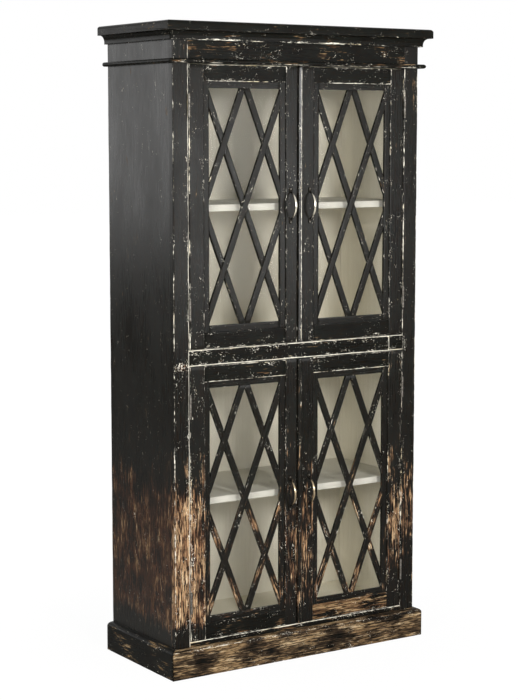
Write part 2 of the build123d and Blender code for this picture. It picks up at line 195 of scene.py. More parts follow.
@dataclass(frozen=True)
class Weathering:
    """How far the paint of a piece is gone, by height above the floor.

    The bare share is high + (low - high) * e(z), where e eases from 0 above the kicked
    zone to 1 inside it and falls off again towards the foot. A spot (x, z, reach, share) on
    the front adds share * exp(-d^2 / reach^2) at a distance d. Chips makes specks more common.
    """

    low: float = 0.0
    high: float = 0.0
    top: float = 0.69
    top_fade: tuple[float, float] = (0.12, -0.24)   # from the top of the kicked zone
    foot: float = 0.17
    foot_fade: tuple[float, float] = (0.03, -0.04)  # from the top of the foot
    foot_loss: float = 0.7
    chips: float = 0.0
    spots: tuple[Spot, ...] = ()

    @classmethod
    def even(cls, bare: float, chips: float = 0.0) -> "Weathering":
        """The same bare share at every height."""
        return cls(low=bare, high=bare, chips=chips)

    def spotted(self, points: np.ndarray) -> np.ndarray:
        """Sum of the spots.

        Args:
            points: positions, the last axis being x, y, z.

        Returns:
            Shares at each point.
        """
        total = np.zeros(points.shape[:-1])
        for x, z, reach, share in self.spots:
            apart = (points[..., 0] - x) ** 2 + (points[..., 2] - z) ** 2
            total = total + share * np.exp(-apart / reach**2)
        return total

    def bare(self, points: np.ndarray) -> np.ndarray:
        """Bare share at each point.

        Args:
            points: positions, the last axis being x, y, z.

        Returns:
            Shares at each point.
        """
        z = points[..., 2]
        zone = ease(z, *(self.top + step for step in self.top_fade))
        zone = zone * (1 - self.foot_loss * ease(z, *(self.foot + step for step in self.foot_fade)))
        return self.high + (self.low - self.high) * zone + self.spotted(points)

    def speckle(self, points: np.ndarray) -> np.ndarray:
        """How common specks are at each point: more so on a spot."""
        return self.chips + SPOT_SPECKLE * self.spotted(points)


@dataclass
class Outline:
    """Closed cross-section, anticlockwise. A point lies at base + radius * turn."""

    base: np.ndarray
    turn: np.ndarray
    normal: np.ndarray      # outward
    arris: np.ndarray       # closeness to the nearest arris
    rub: np.ndarray         # how hard that arris is rubbed
    face: np.ndarray        # material index of the strip after the point
    corner: np.ndarray      # corner that the point belongs to

    @classmethod
    def of(
        cls,
        corners: Sequence[Sequence[float]],
        rub: Sequence[float],
        faces: Optional[Sequence[int]] = None,
        soft: Optional[Sequence[bool]] = None,
    ) -> "Outline":
        """Draw a cross-section from its corners.

        Args:
            corners: points (u, v), anticlockwise.
            rub: how hard each corner is rubbed; 0 for a corner that isn't an arris.
            faces: material index of the edge that leaves each corner; black if not given.
            soft: which corners are rounded; those with some rub if not given.

        Returns:
            The outline.
        """
        points = np.asarray(corners, float)
        coats = [Coat.BLACK] * len(points) if faces is None else faces
        rub_at = np.asarray(rub, float)
        rounded = rub_at > 0 if soft is None else np.asarray(soft, bool)
        ahead = np.roll(points, -1, 0) - points
        length = np.linalg.norm(ahead, axis=1)
        heading = ahead / length[:, None]
        outward = np.stack([heading[:, 1], -heading[:, 0]], 1)
        start = np.concatenate([[0.0], np.cumsum(length)[:-1]])
        base, turn, normal, travel, face, corner = [], [], [], [], [], []
        for i, point in enumerate(points):
            shift, arc = cls.bend(outward[i - 1], outward[i], bool(rounded[i]))
            inner = cls.marks(float(length[i]))
            base += [np.repeat(point[None], len(arc), 0), point + inner[:, None] * heading[i]]
            turn += [shift, np.zeros((len(inner), 2))]
            normal += [arc, np.repeat(outward[i][None], len(inner), 0)]
            travel += [np.full(len(arc), start[i]), start[i] + inner]
            face.append(np.full(len(arc) + len(inner), coats[i]))
            corner.append(np.full(len(arc) + len(inner), i))
        position = np.concatenate(travel)
        arrises = np.flatnonzero(rub_at > 0)
        closeness, strength = np.zeros(len(position)), np.zeros(len(position))
        if len(arrises):
            apart = np.abs(position[:, None] - start[arrises][None])
            apart = np.minimum(apart, length.sum() - apart)
            closeness = np.maximum(0.0, ARRIS_REACH - apart.min(1))
            strength = rub_at[arrises][apart.argmin(1)]
        joined = (np.concatenate(part) for part in (base, turn, normal))
        return cls(*joined, closeness, strength, np.concatenate(face), np.concatenate(corner))

    @staticmethod
    def bend(before: np.ndarray, after: np.ndarray, rounded: bool) -> tuple[np.ndarray, np.ndarray]:
        """Points of one corner.

        A rounded corner is an arc about corner - r * b / cos(a / 2), where b is the outward
        bisector of the two edges and a the angle between their outward normals.

        Args:
            before: outward normal of the edge that arrives.
            after: outward normal of the edge that leaves.
            rounded: whether the corner is an arc or a single point.

        Returns:
            Shift of each point for a radius of 1, and its outward normal.
        """
        bisector = (before + after) / np.linalg.norm(before + after)
        if not rounded:
            return np.zeros((1, 2)), bisector[None]
        angle = math.atan2(before[0] * after[1] - before[1] * after[0], before @ after)
        sweep = math.atan2(before[1], before[0]) + angle * np.linspace(0, 1, ARC_STEPS + 1)
        arc = np.stack([np.cos(sweep), np.sin(sweep)], 1)
        return arc - bisector / math.cos(angle / 2), arc

    @staticmethod
    def marks(length: float) -> np.ndarray:
        """Points along an edge: its middle, the ends of its flats and of the arrises' reach.

        Args:
            length: length of the edge.

        Returns:
            Distances from its start, rising; none on a short edge.
        """
        found = {length / 2} if length > 2 * HOLD else set()
        for mark, least in ((HOLD, 3 * HOLD), (ARRIS_REACH, 2.5 * ARRIS_REACH)):
            if length > least:
                found |= {mark, length - mark}
        return np.array(sorted(found)).reshape(-1)


@dataclass
class Run:
    """How an outline is carried along its length.

    Args:
        rows: directions across, through and along, as rows.
        start: length position where each outline point starts; a number or an array.
        end: length position where it ends.
        radius: mean radius of the rounded arrises.
        weathering: bare share of the paint.
        end_rub: how hard the arrises of the first and of the last end are rubbed.
        end_round: rounding of the two ends.
        breaks: extra positions that get a cross-section.
        shape: change of the cross-section by length position.
        calm: length position beyond which the arrises are rubbed less, and by what share.
        origin: where across, through and along are all 0.
    """

    rows: np.ndarray
    start: Length
    end: Length
    radius: float = 1.6 * MM
    weathering: Weathering = Weathering()
    end_rub: tuple[float, float] = (0.0, 0.0)
    end_round: float = 0.6 * MM
    breaks: Sequence[float] = ()
    shape: Optional[Callable[[np.ndarray, np.ndarray], np.ndarray]] = None
    calm: tuple[float, float] = (math.inf, 1.0)
    origin: np.ndarray = field(default_factory=lambda: np.zeros(3))


class Maker:
    """Gathers surfaces into one closed mesh with the attributes that the paint reads."""

    def __init__(self, name: str) -> None:
        """Start an empty mesh.

        Args:
            name: name of the piece, which also seeds its random draws.
        """
        self.name = name
        self.rng = np.random.default_rng(sum(ord(c) * (i + SEED_SHIFT) for i, c in enumerate(name)))
        self.points: list[np.ndarray] = []
        self.loops: list[np.ndarray] = []
        self.totals: list[np.ndarray] = []
        self.coats: list[np.ndarray] = []
        self.layers: dict[str, list[np.ndarray]] = {key: [] for key in LAYERS}
        self.count = 0

    def add(self, grid: np.ndarray, face: np.ndarray, **layers: Length) -> None:
        """Add a grid of points that closes on itself along its second axis, with two end caps.

        Args:
            grid: points, stations by outline points by xyz; the outline runs anticlockwise
                when seen against the direction of the stations.
            face: material index of each strip between neighbouring outline points.
            layers: attribute values for each point; 0 for those left out.
        """
        stations, around = grid.shape[:2]
        index = np.arange(stations * around).reshape(stations, around) + self.count
        beside = np.roll(index, -1, 1)
        quads = np.stack([index[:-1], beside[:-1], beside[1:], index[1:]], -1)
        self.loops += [quads.reshape(-1), index[0, ::-1], index[-1]]
        self.totals += [np.full(quads.shape[0] * around, 4), np.array([around, around])]
        self.coats += [np.tile(face, stations - 1), np.array([face[0], face[0]])]
        self.points.append(grid.reshape(-1, 3))
        for key, width in LAYERS.items():
            shape = grid.shape if width == 3 else grid.shape[:2]
            self.layers[key].append(np.broadcast_to(layers.get(key, 0.0), shape).reshape(-1, width))
        self.count += stations * around

    def carry(self, outline: Outline, run: Run) -> None:
        """Carry an outline along a straight length.

        P(s, k) = origin + c_u(s, k) U + c_v(s, k) V + s W, where the cross-section is
        c = base_k + r(s) turn_k - inset(s) normal_k and the arris radius r wanders along s.

        Args:
            outline: the cross-section.
            run: its length, wear and shape.
        """
        start = np.broadcast_to(run.start, outline.arris.shape)
        end = np.broadcast_to(run.end, outline.arris.shape)
        first = float(start.mean())
        length = float(end.mean()) - first
        tip = min(run.end_round, length / 4)
        inside = np.linspace(tip, length - tip, max(3, round(length / STATION_PITCH)))
        extra = np.array(run.breaks, float).reshape(-1) - first
        tips = np.array([0.0, TIP_SHARE * tip, length - TIP_SHARE * tip, length])
        at = np.unique(np.concatenate([tips, inside, extra[(extra > 0) & (extra < length)]]))
        at = np.concatenate([[0.0], at, [length]])
        lost = np.maximum(0.0, tip - np.minimum(at, length - at))
        inset = tip - np.sqrt(np.maximum(0.0, tip**2 - lost**2))
        inset[[0, -1]] += CAP_RIM
        along = start + (end - start) * (at / length)[:, None]
        corners = int(outline.corner.max()) + 1
        wander = np.stack([wobble(at, WANDER_STEP, self.rng) for _ in range(corners)], 1)
        radius = run.radius * (1 + WANDER * wander[:, outline.corner])
        section = outline.base + radius[..., None] * outline.turn - inset[:, None, None] * outline.normal
        if run.shape is not None:
            section = run.shape(section, along)
        local = np.concatenate([section, along[..., None]], -1)
        grid = run.origin + local @ run.rows
        arris = np.broadcast_to(outline.arris, along.shape)
        rub = outline.rub * np.where(along > run.calm[0], run.calm[1], 1.0)
        for end_rub, apart in zip(run.end_rub, (at, length - at)):
            end_arris = np.maximum(0.0, ARRIS_REACH - apart)[:, None] * (end_rub > 0)
            rub = np.where(end_arris > arris, end_rub, rub)
            arris = np.maximum(arris, end_arris)
        rim = np.arange(len(at)) % (len(at) - 1) == 0
        self.add(
            grid,
            outline.face,
            grain=local + self.rng.uniform(-GRAIN_SHIFT, GRAIN_SHIFT, 3),
            arris=np.where(rim[:, None], 0.0, arris),
            rub=rub,
            bare=run.weathering.bare(grid),
            chips=run.weathering.speckle(grid),
        )

    def board(
        self,
        lo: Sequence[float],
        hi: Sequence[float],
        along: Along,
        rub: Sequence[float] = (0, 0, 0, 0),
        faces: Optional[Sequence[int]] = None,
        **settings: object,
    ) -> None:
        """Cut a plain board to a box.

        The corners go round the cross-section (u, v) from the lowest one, u before v; for a
        length along Z these are x and y, along X they are y and z, along Y they are z and x.

        Args:
            lo: lowest corner of the box.
            hi: highest corner.
            along: axis of the length.
            rub: how hard each of the four corners is rubbed.
            faces: material index of the edges that leave the four corners; black if not given.
            settings: further fields of the run.
        """
        rows = along.rows
        u, v, w = (int(np.argmax(row)) for row in rows)
        corners = [(lo[u], lo[v]), (hi[u], lo[v]), (hi[u], hi[v]), (lo[u], hi[v])]
        self.carry(Outline.of(corners, rub, faces), Run(rows, lo[w], hi[w], **settings))

    def finish(self, body: str, node: str, materials: Sequence[bpy.types.Material]) -> None:
        """Make the object and hand it to the frame.

        Args:
            body: CAD body that it rides on.
            node: CAD node that it stands in for.
            materials: materials by index.
        """
        mesh = bpy.data.meshes.new(self.name)
        points, loops, totals = (np.concatenate(part) for part in (self.points, self.loops, self.totals))
        mesh.vertices.add(len(points))
        mesh.vertices.foreach_set("co", points.astype(np.float32).ravel())
        mesh.loops.add(len(loops))
        mesh.loops.foreach_set("vertex_index", loops.astype(np.int32))
        mesh.polygons.add(len(totals))
        mesh.polygons.foreach_set("loop_start", (np.cumsum(totals) - totals).astype(np.int32))
        mesh.polygons.foreach_set("loop_total", totals.astype(np.int32))
        mesh.polygons.foreach_set("material_index", np.concatenate(self.coats).astype(np.int32))
        for key, width in LAYERS.items():
            kind, value = ("FLOAT_VECTOR", "vector") if width == 3 else ("FLOAT", "value")
            values = np.concatenate(self.layers[key]).astype(np.float32)
            mesh.attributes.new(key, kind, "POINT").data.foreach_set(value, values.ravel())
        mesh.update(calc_edges=True)
        mesh.shade_smooth()
        mesh.set_sharp_from_angle(angle=SMOOTH_ANGLE)
        for material in materials:
            mesh.materials.append(material)
        piece = bpy.data.objects.new(self.name, mesh)
        bpy.context.scene.collection.objects.link(piece)
        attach(piece, body)
        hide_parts(node)
        LOG.info("%s: %d faces on %s", self.name, len(totals), body)


def colour(code: str) -> tuple[float, float, float, float]:
    """Linear colour of an sRGB hex code.

    Args:
        code: six hex digits.

    Returns:
        Red, green, blue and an alpha of 1.
    """
    parts = [int(code[i:i + 2], 16) / 255 for i in (0, 2, 4)]
    linear = [c / 12.92 if c <= 0.04045 else ((c + 0.055) / 1.055) ** 2.4 for c in parts]
    return (*linear, 1.0)


def add(
    tree: Tree, kind: str, inputs: Optional[dict] = None, out: Union[str, int] = 0, **settings: object
) -> Optional[Socket]:
    """Add a node with its settings and links.

    Args:
        tree: node tree.
        kind: type name of the node, after ShaderNode.
        inputs: socket to link or value to set, by input name or index.
        out: output that is handed back.
        settings: properties of the node.

    Returns:
        That output, or None from a node that has none.
    """
    node = tree.nodes.new(f"ShaderNode{kind}")
    for key, value in settings.items():
        setattr(node, key, value)
    for key, value in (inputs or {}).items():
        if isinstance(value, Socket):
            tree.links.new(value, node.inputs[key])
        else:
            node.inputs[key].default_value = value
    return node.outputs[out] if len(node.outputs) else None


def blank(name: str) -> tuple[bpy.types.Material, Tree]:
    """A material with an empty node tree.

    Args:
        name: name of the material.

    Returns:
        The material and its tree.
    """
    material = bpy.data.materials.new(name)
    material.use_nodes = True
    material.node_tree.nodes.clear()
    return material, material.node_tree


@dataclass(frozen=True)
class Mark:
    """Size of a kind of mark across and along the grain, in millimetres, and its fineness."""

    across: float
    along: float
    detail: float = 3.0
    roughness: float = 0.62

    def draw(self, tree: Tree, place: Socket) -> Socket:
        """Noise with marks of this size.

        Args:
            tree: node tree.
            place: coordinates in metres, with the grain along Z.

        Returns:
            The noise, from 0 to 1.
        """
        wide, long = 1 / (self.across * MM), 1 / (self.along * MM)
        place = add(tree, "VectorMath", {0: place, 1: (wide, wide, long)}, operation="MULTIPLY")
        look = {"Vector": place, "Scale": 1.0, "Detail": self.detail, "Roughness": self.roughness}
        return add(tree, "TexNoise", look, out="Fac")


@dataclass(frozen=True)
class Ramp:
    """Straight rise of a share, from least to most, as a layer goes from start to full."""

    layer: str
    start: float
    full: float
    most: float = 1.0
    least: float = 0.0


@dataclass(frozen=True)
class Finish:
    """A material with one shader; each kind of finish says what goes into it."""

    name: str

    def surface(self, tree: Tree) -> dict[str, object]:
        """Values and sockets for the shader's inputs, by name."""
        raise NotImplementedError

    def build(self) -> bpy.types.Material:
        """Make the material.

        Returns:
            The material.
        """
        material, tree = blank(self.name)
        shader = add(tree, "BsdfPrincipled", self.surface(tree))
        add(tree, "OutputMaterial", {"Surface": shader})
        return material


@dataclass(frozen=True)
class WornBlackPaint(Finish):
    """Satin black paint, brushed on and then rubbed through by hand.

    The eye sees a soft sheen on the black, thin pale lines of undercoat at the arrises, crowds
    of pale specks beside them, and near the floor a brown stain and bare wood torn along the
    grain. The attribute arris is 0 away from an arris and ARRIS_REACH on it, rub says how hard
    that arris is rubbed, and bare how far the paint of the place is gone.
    """

    gloss: float
    soak: float = 0.2
    black: str = "0D0D0B"
    cool_black: str = "151714"
    stain: str = "5A3724"
    undercoat: str = "F1EBDB"
    warm_undercoat: str = "EAD4A4"
    pore_filler: str = "161009"
    wood: tuple[str, ...] = ("3F2D21", "7D5B40", "BF9D76", "E8D4B2")
    wood_stops: tuple[float, ...] = (0.30, 0.44, 0.56, 0.70)
    pores: float = 0.50
    worn_roughness: float = 0.68
    film: float = 0.5 * MM       # thickness of the paint
    film_loss: float = 0.6       # share of it by which a worn place lies lower
    brush_marks: float = 0.35    # strength of the marks in it

    @property
    def marks(self) -> dict[str, Mark]:
        """Kinds of mark; the specks are drawn coarser than real ones, so that they show."""
        return {
            "run": Mark(3, 16, 5),
            "tear": Mark(5, 60, 5),
            "patch": Mark(50, 110),
            "cloud": Mark(150, 420, 2),
            "speck": Mark(2.5, 6.5, 2),
            "crowd": Mark(22, 50),
            "pore": Mark(2.5, 24, 4),
            "figure": Mark(7, 150, 4),
        }

    @property
    def sums(self) -> dict[str, tuple[float, dict[str, float]]]:
        """Weighted sums of marks and attributes, each with its constant; lengths in millimetres.

        A rubbed line is as wide as 5 rub - 3.2, made uneven by ragged, less so where it is
        rubbed hard. Specks crowd where an arris is near and rubbed hard.
        """
        return {
            "ragged": (-9.5, {"run": 11.0, "patch": 8.0}),
            "even": (1.25, {"rub": -1.0}),
            "line": (-3.2 - ARRIS_REACH / MM, {"arris": 1 / MM, "rub": 5.0}),
            "worried": (0.0, {"rub": 6.5}),
            "torn": (0.0, {"tear": 1.7, "patch": 1.6, "bare": 1.0}),
            "soaked": (0.0, {"torn": 1.0, "bare": self.soak}),
            "chipped": (0.0, {"speck": 1.0, "crowd": 0.6, "bare": 0.05, "chips": 1.0}),
            "brushed": (0.0, {"run": 1.0, "speck": 0.12}),
        }

    @property
    def ramps(self) -> dict[str, Ramp]:
        """Shares of the coats, and the two parts of the paint's roughness."""
        return {
            "edge": Ramp("width", 0.0, 0.8),
            "speckled": Ramp("near", 1.065, 1.11, 0.9),
            "thin": Ramp("soaked", 2.12, 2.42, 0.9),
            "stripped": Ramp("torn", 2.07, 2.25),
            "filled": Ramp("pore", self.pores, self.pores + 0.05, 0.96),
            "warm": Ramp("figure", 0.54, 0.70),
            "drift": Ramp("patch", 0.35, 0.65),
            "satin": Ramp("tear", 0.3, 0.7, 0.05, -0.05),
            "cloudy": Ramp("cloud", 0.3, 0.7, 0.34, 0.24),
        }

    def surface(self, tree: Tree) -> dict[str, object]:
        """Coats over one another, down to the wood, with a film that stands above it.

        Args:
            tree: node tree.

        Returns:
            The shader's inputs.
        """
        layer = {}
        for key in ("arris", "bare", "rub", "chips"):
            layer[key] = add(tree, "Attribute", out="Fac", attribute_name=key)
        grain = add(tree, "Attribute", out="Vector", attribute_name="grain")
        for key, mark in self.marks.items():
            layer[key] = mark.draw(tree, grain)
        for key, (total, weights) in self.sums.items():
            for part, weight in weights.items():
                total = add(tree, "Math", {0: layer[part], 1: weight, 2: total}, operation="MULTIPLY_ADD")
            layer[key] = total
        # Width of a rubbed line less the distance from the arris, and how likely a speck is
        for key, parts in (("width", ("ragged", "even", "line")), ("near", ("arris", "worried", "chipped"))):
            terms = {place: layer[part] for place, part in enumerate(parts)}
            layer[key] = add(tree, "Math", terms, operation="MULTIPLY_ADD")
        for key, ramp in self.ramps.items():
            ends = {1: ramp.start, 2: ramp.full, 3: ramp.least, 4: ramp.most}
            layer[key] = add(tree, "MapRange", {"Value": layer[ramp.layer], **ends})
        for key, first, second, operation in (
            ("scuff", "edge", "speckled", "MAXIMUM"),
            ("gone", "stripped", "scuff", "MAXIMUM"),
            ("sheen", "satin", "cloudy", "ADD"),
        ):
            layer[key] = add(tree, "Math", {0: layer[first], 1: layer[second]}, operation=operation)
        # Each coat over the one before: share, lower colour, upper colour
        coats = (
            ("pale", "warm", colour(self.undercoat), colour(self.warm_undercoat)),
            ("paint", "drift", colour(self.black), colour(self.cool_black)),
            ("stained", "thin", "paint", colour(self.stain)),
            ("torn_coat", "stripped", "stained", self.figured(tree, layer["figure"])),
            ("pored", "filled", "torn_coat", colour(self.pore_filler)),
            ("coat", "scuff", "pored", "pale"),
        )
        for key, share, under, over in coats:
            pair = {0: layer[share], 6: layer.get(under, under), 7: layer.get(over, over)}
            layer[key] = add(tree, "Mix", pair, out=2, data_type="RGBA")
        rough = add(tree, "Mix", {0: layer["gone"], 2: layer["sheen"], 3: self.worn_roughness})
        height = {0: layer["gone"], 1: -self.film_loss, 2: layer["brushed"]}
        height = add(tree, "Math", height, operation="MULTIPLY_ADD")
        bump = add(tree, "Bump", {"Height": height, "Strength": self.brush_marks, "Distance": self.film})
        return {
            "Base Color": layer["coat"], "Roughness": rough, "Normal": bump, "Specular IOR Level": self.gloss,
        }

    def figured(self, tree: Tree, figure: Socket) -> Socket:
        """Colour of the bare wood.

        Args:
            tree: node tree.
            figure: noise that is long along the grain.

        Returns:
            The colour, from the dark to the light of the grain.
        """
        shade = add(tree, "ValToRGB", {0: figure})
        elements = shade.node.color_ramp.elements
        for _ in self.wood[2:]:
            elements.new(0.5)
        for element, stop, code in zip(elements, self.wood_stops, self.wood):
            element.position = stop
            element.color = colour(code)
        return shade


@dataclass(frozen=True)
class BrushedPaint(Finish):
    """Plain brushed paint, a little uneven along the grain."""

    light: str
    dark: str
    roughness: float = 0.55
    brush: Mark = Mark(9, 130, 4, 0.6)
    streak: tuple[float, float] = (0.3, 0.7)    # noise where the dark tone starts and is full
    brush_marks: float = 0.2
    film: float = 0.3 * MM

    def surface(self, tree: Tree) -> dict[str, object]:
        """Two near tones in long streaks, which also stand out a little.

        Args:
            tree: node tree.

        Returns:
            The shader's inputs.
        """
        brush = self.brush.draw(tree, add(tree, "Attribute", out="Vector", attribute_name="grain"))
        shade = add(tree, "MapRange", {"Value": brush, 1: self.streak[0], 2: self.streak[1]})
        tones = {0: shade, 6: colour(self.light), 7: colour(self.dark)}
        coat = add(tree, "Mix", tones, out=2, data_type="RGBA")
        bump = add(tree, "Bump", {"Height": brush, "Strength": self.brush_marks, "Distance": self.film})
        return {"Base Color": coat, "Roughness": self.roughness, "Normal": bump}


@dataclass(frozen=True)
class WindowGlass(Finish):
    """Thin clear sheet: mostly open to the view, with a faint green-grey tint and sharp reflections."""

    tint: str = "9A9B8E"
    opacity: float = 0.035
    roughness: float = 0.03

    def surface(self, tree: Tree) -> dict[str, object]:
        """Constants alone."""
        return {"Base Color": colour(self.tint), "Roughness": self.roughness, "Alpha": self.opacity}


@dataclass(frozen=True)
class AgedMetal(Finish):
    """Metal with a mottled tarnish, duller where it is tarnished."""

    bright: str
    tarnish: str
    roughness: float
    dulled: float = 0.2
    mottle: Mark = Mark(6, 6, 5, 0.6)
    tarnished: tuple[float, float] = (0.38, 0.62)    # noise where the tarnish starts and is full
    dulling: tuple[float, float] = (0.3, 0.7)        # the same for its dullness

    def surface(self, tree: Tree) -> dict[str, object]:
        """Bright metal and tarnish, mixed by noise.

        Args:
            tree: node tree.

        Returns:
            The shader's inputs.
        """
        noise = self.mottle.draw(tree, add(tree, "TexCoord", out="Object"))
        share = add(tree, "MapRange", {"Value": noise, 1: self.tarnished[0], 2: self.tarnished[1]})
        tones = {0: share, 6: colour(self.bright), 7: colour(self.tarnish)}
        coat = add(tree, "Mix", tones, out=2, data_type="RGBA")
        ends = {1: self.dulling[0], 2: self.dulling[1], 3: self.roughness, 4: self.roughness + self.dulled}
        rough = add(tree, "MapRange", {"Value": noise, **ends})
        return {"Base Color": coat, "Roughness": rough, "Metallic": 1.0}


@dataclass(frozen=True)
class RubbedBrass(Finish):
    """Blackened brass, rubbed bright along the middle of a bow; the bright band is partly real rub and partly
    a painted highlight, shaped to where the lamps reflect on the bow.
    """

    bright: str = "D8D2C2"
    dark: str = "1C1A17"
    polished: float = 0.25
    dull: float = 0.48
    pitting: Mark = Mark(3, 3, 4, 0.5)
    pitted: float = 0.8
    shine: tuple[float, float] = (0.55, 1.05)    # rub and pitting where the shine starts and is full

    def surface(self, tree: Tree) -> dict[str, object]:
        """Bright where the attribute rub, made uneven by pitting, is high.

        Args:
            tree: node tree.

        Returns:
            The shader's inputs.
        """
        rub = add(tree, "Attribute", out="Fac", attribute_name="rub")
        noise = self.pitting.draw(tree, add(tree, "Attribute", out="Vector", attribute_name="grain"))
        worn = add(tree, "Math", {0: noise, 1: self.pitted, 2: rub}, operation="MULTIPLY_ADD")
        share = add(tree, "MapRange", {"Value": worn, 1: self.shine[0], 2: self.shine[1]})
        tones = {0: share, 6: colour(self.dark), 7: colour(self.bright)}
        coat = add(tree, "Mix", tones, out=2, data_type="RGBA")
        rough = add(tree, "Mix", {0: share, 2: self.dull, 3: self.polished})
        return {"Base Color": coat, "Roughness": rough, "Metallic": 1.0}


class Finishes:
    """The materials of the armoire."""

    def __init__(self) -> None:
        """Make every material."""
        level = {"gloss": 0.055, "pores": 0.53}
        blacks = {
            # Stiles and lattices, brushed upright, catch more of the light than level pieces do
            Place.UPRIGHT: WornBlackPaint("worn_black_paint", gloss=0.13, soak=0.5),
            # Rails and mouldings wear to a greyer wood
            Place.LEVEL: WornBlackPaint(
                "worn_black_paint_rail", wood=("39291F", "634932", "8F7453", "BCA37E"), **level
            ),
            # The plinth is scuffed all over: stain and wood show between what is left of the black
            Place.PLINTH: WornBlackPaint(
                "worn_black_paint_plinth", soak=0.75, stain="46382A",
                wood=("3B2E22", "6F583D", "A48A66", "CCB899"), **level,
            ),
            # The round strip between the upper doors is handled often and shines
            Place.STRIP: WornBlackPaint("worn_black_paint_strip", gloss=0.55),
            # The end panels are smooth, and rubbed to a brown stain rather than to wood
            Place.END_PANEL: WornBlackPaint(
                "worn_black_paint_panel", gloss=0.17, soak=1.7, stain="452B1D", film=0.2 * MM,
                wood=("342519", "664A33", "9C7F5E", "C0AE90"),
            ),
        }
        self.blacks = {place: paint.build() for place, paint in blacks.items()}
        # Warm off-white of the inside, the lightest large surface
        self.ivory = BrushedPaint("ivory_paint", "EEE8D6", "E5DEC9").build()
        # Shelves: greyer and less yellow, and a darker copy of the ivory as painted shade, taking back how
        # brightly the frontal light strikes their front edges
        self.shelf = BrushedPaint("shelf_paint_shaded", "CBC8BC", "C4C0B3").build()
        self.glass = WindowGlass("window_glass").build()
        # Pulls: dark with age, bright where the hand rubs them and where a highlight is painted on the bow;
        # the lower pulls get a darker copy of the brass, painted shade for their duller look in the light
        self.brass = {
            Level.UPPER: RubbedBrass("antique_brass").build(),
            # Lower pulls: the same brass made darker, painted shade
            Level.LOWER: RubbedBrass("antique_brass_shaded", bright="A8977C").build(),
        }
        # Grey of screws, hinges and catches
        self.steel = AgedMetal("plain_steel", "7C7872", "4A463F", 0.40).build()

    def coats(self, place: Place) -> tuple[bpy.types.Material, ...]:
        """Materials of a painted piece, in the order of Coat."""
        return self.blacks[place], self.ivory, self.shelf


@dataclass(frozen=True)
class RailWear:
    """Wear of a rail: rub of its lower and upper front arris, bare share and specks."""

    node: str
    below: float
    above: float
    bare: float
    chips: float


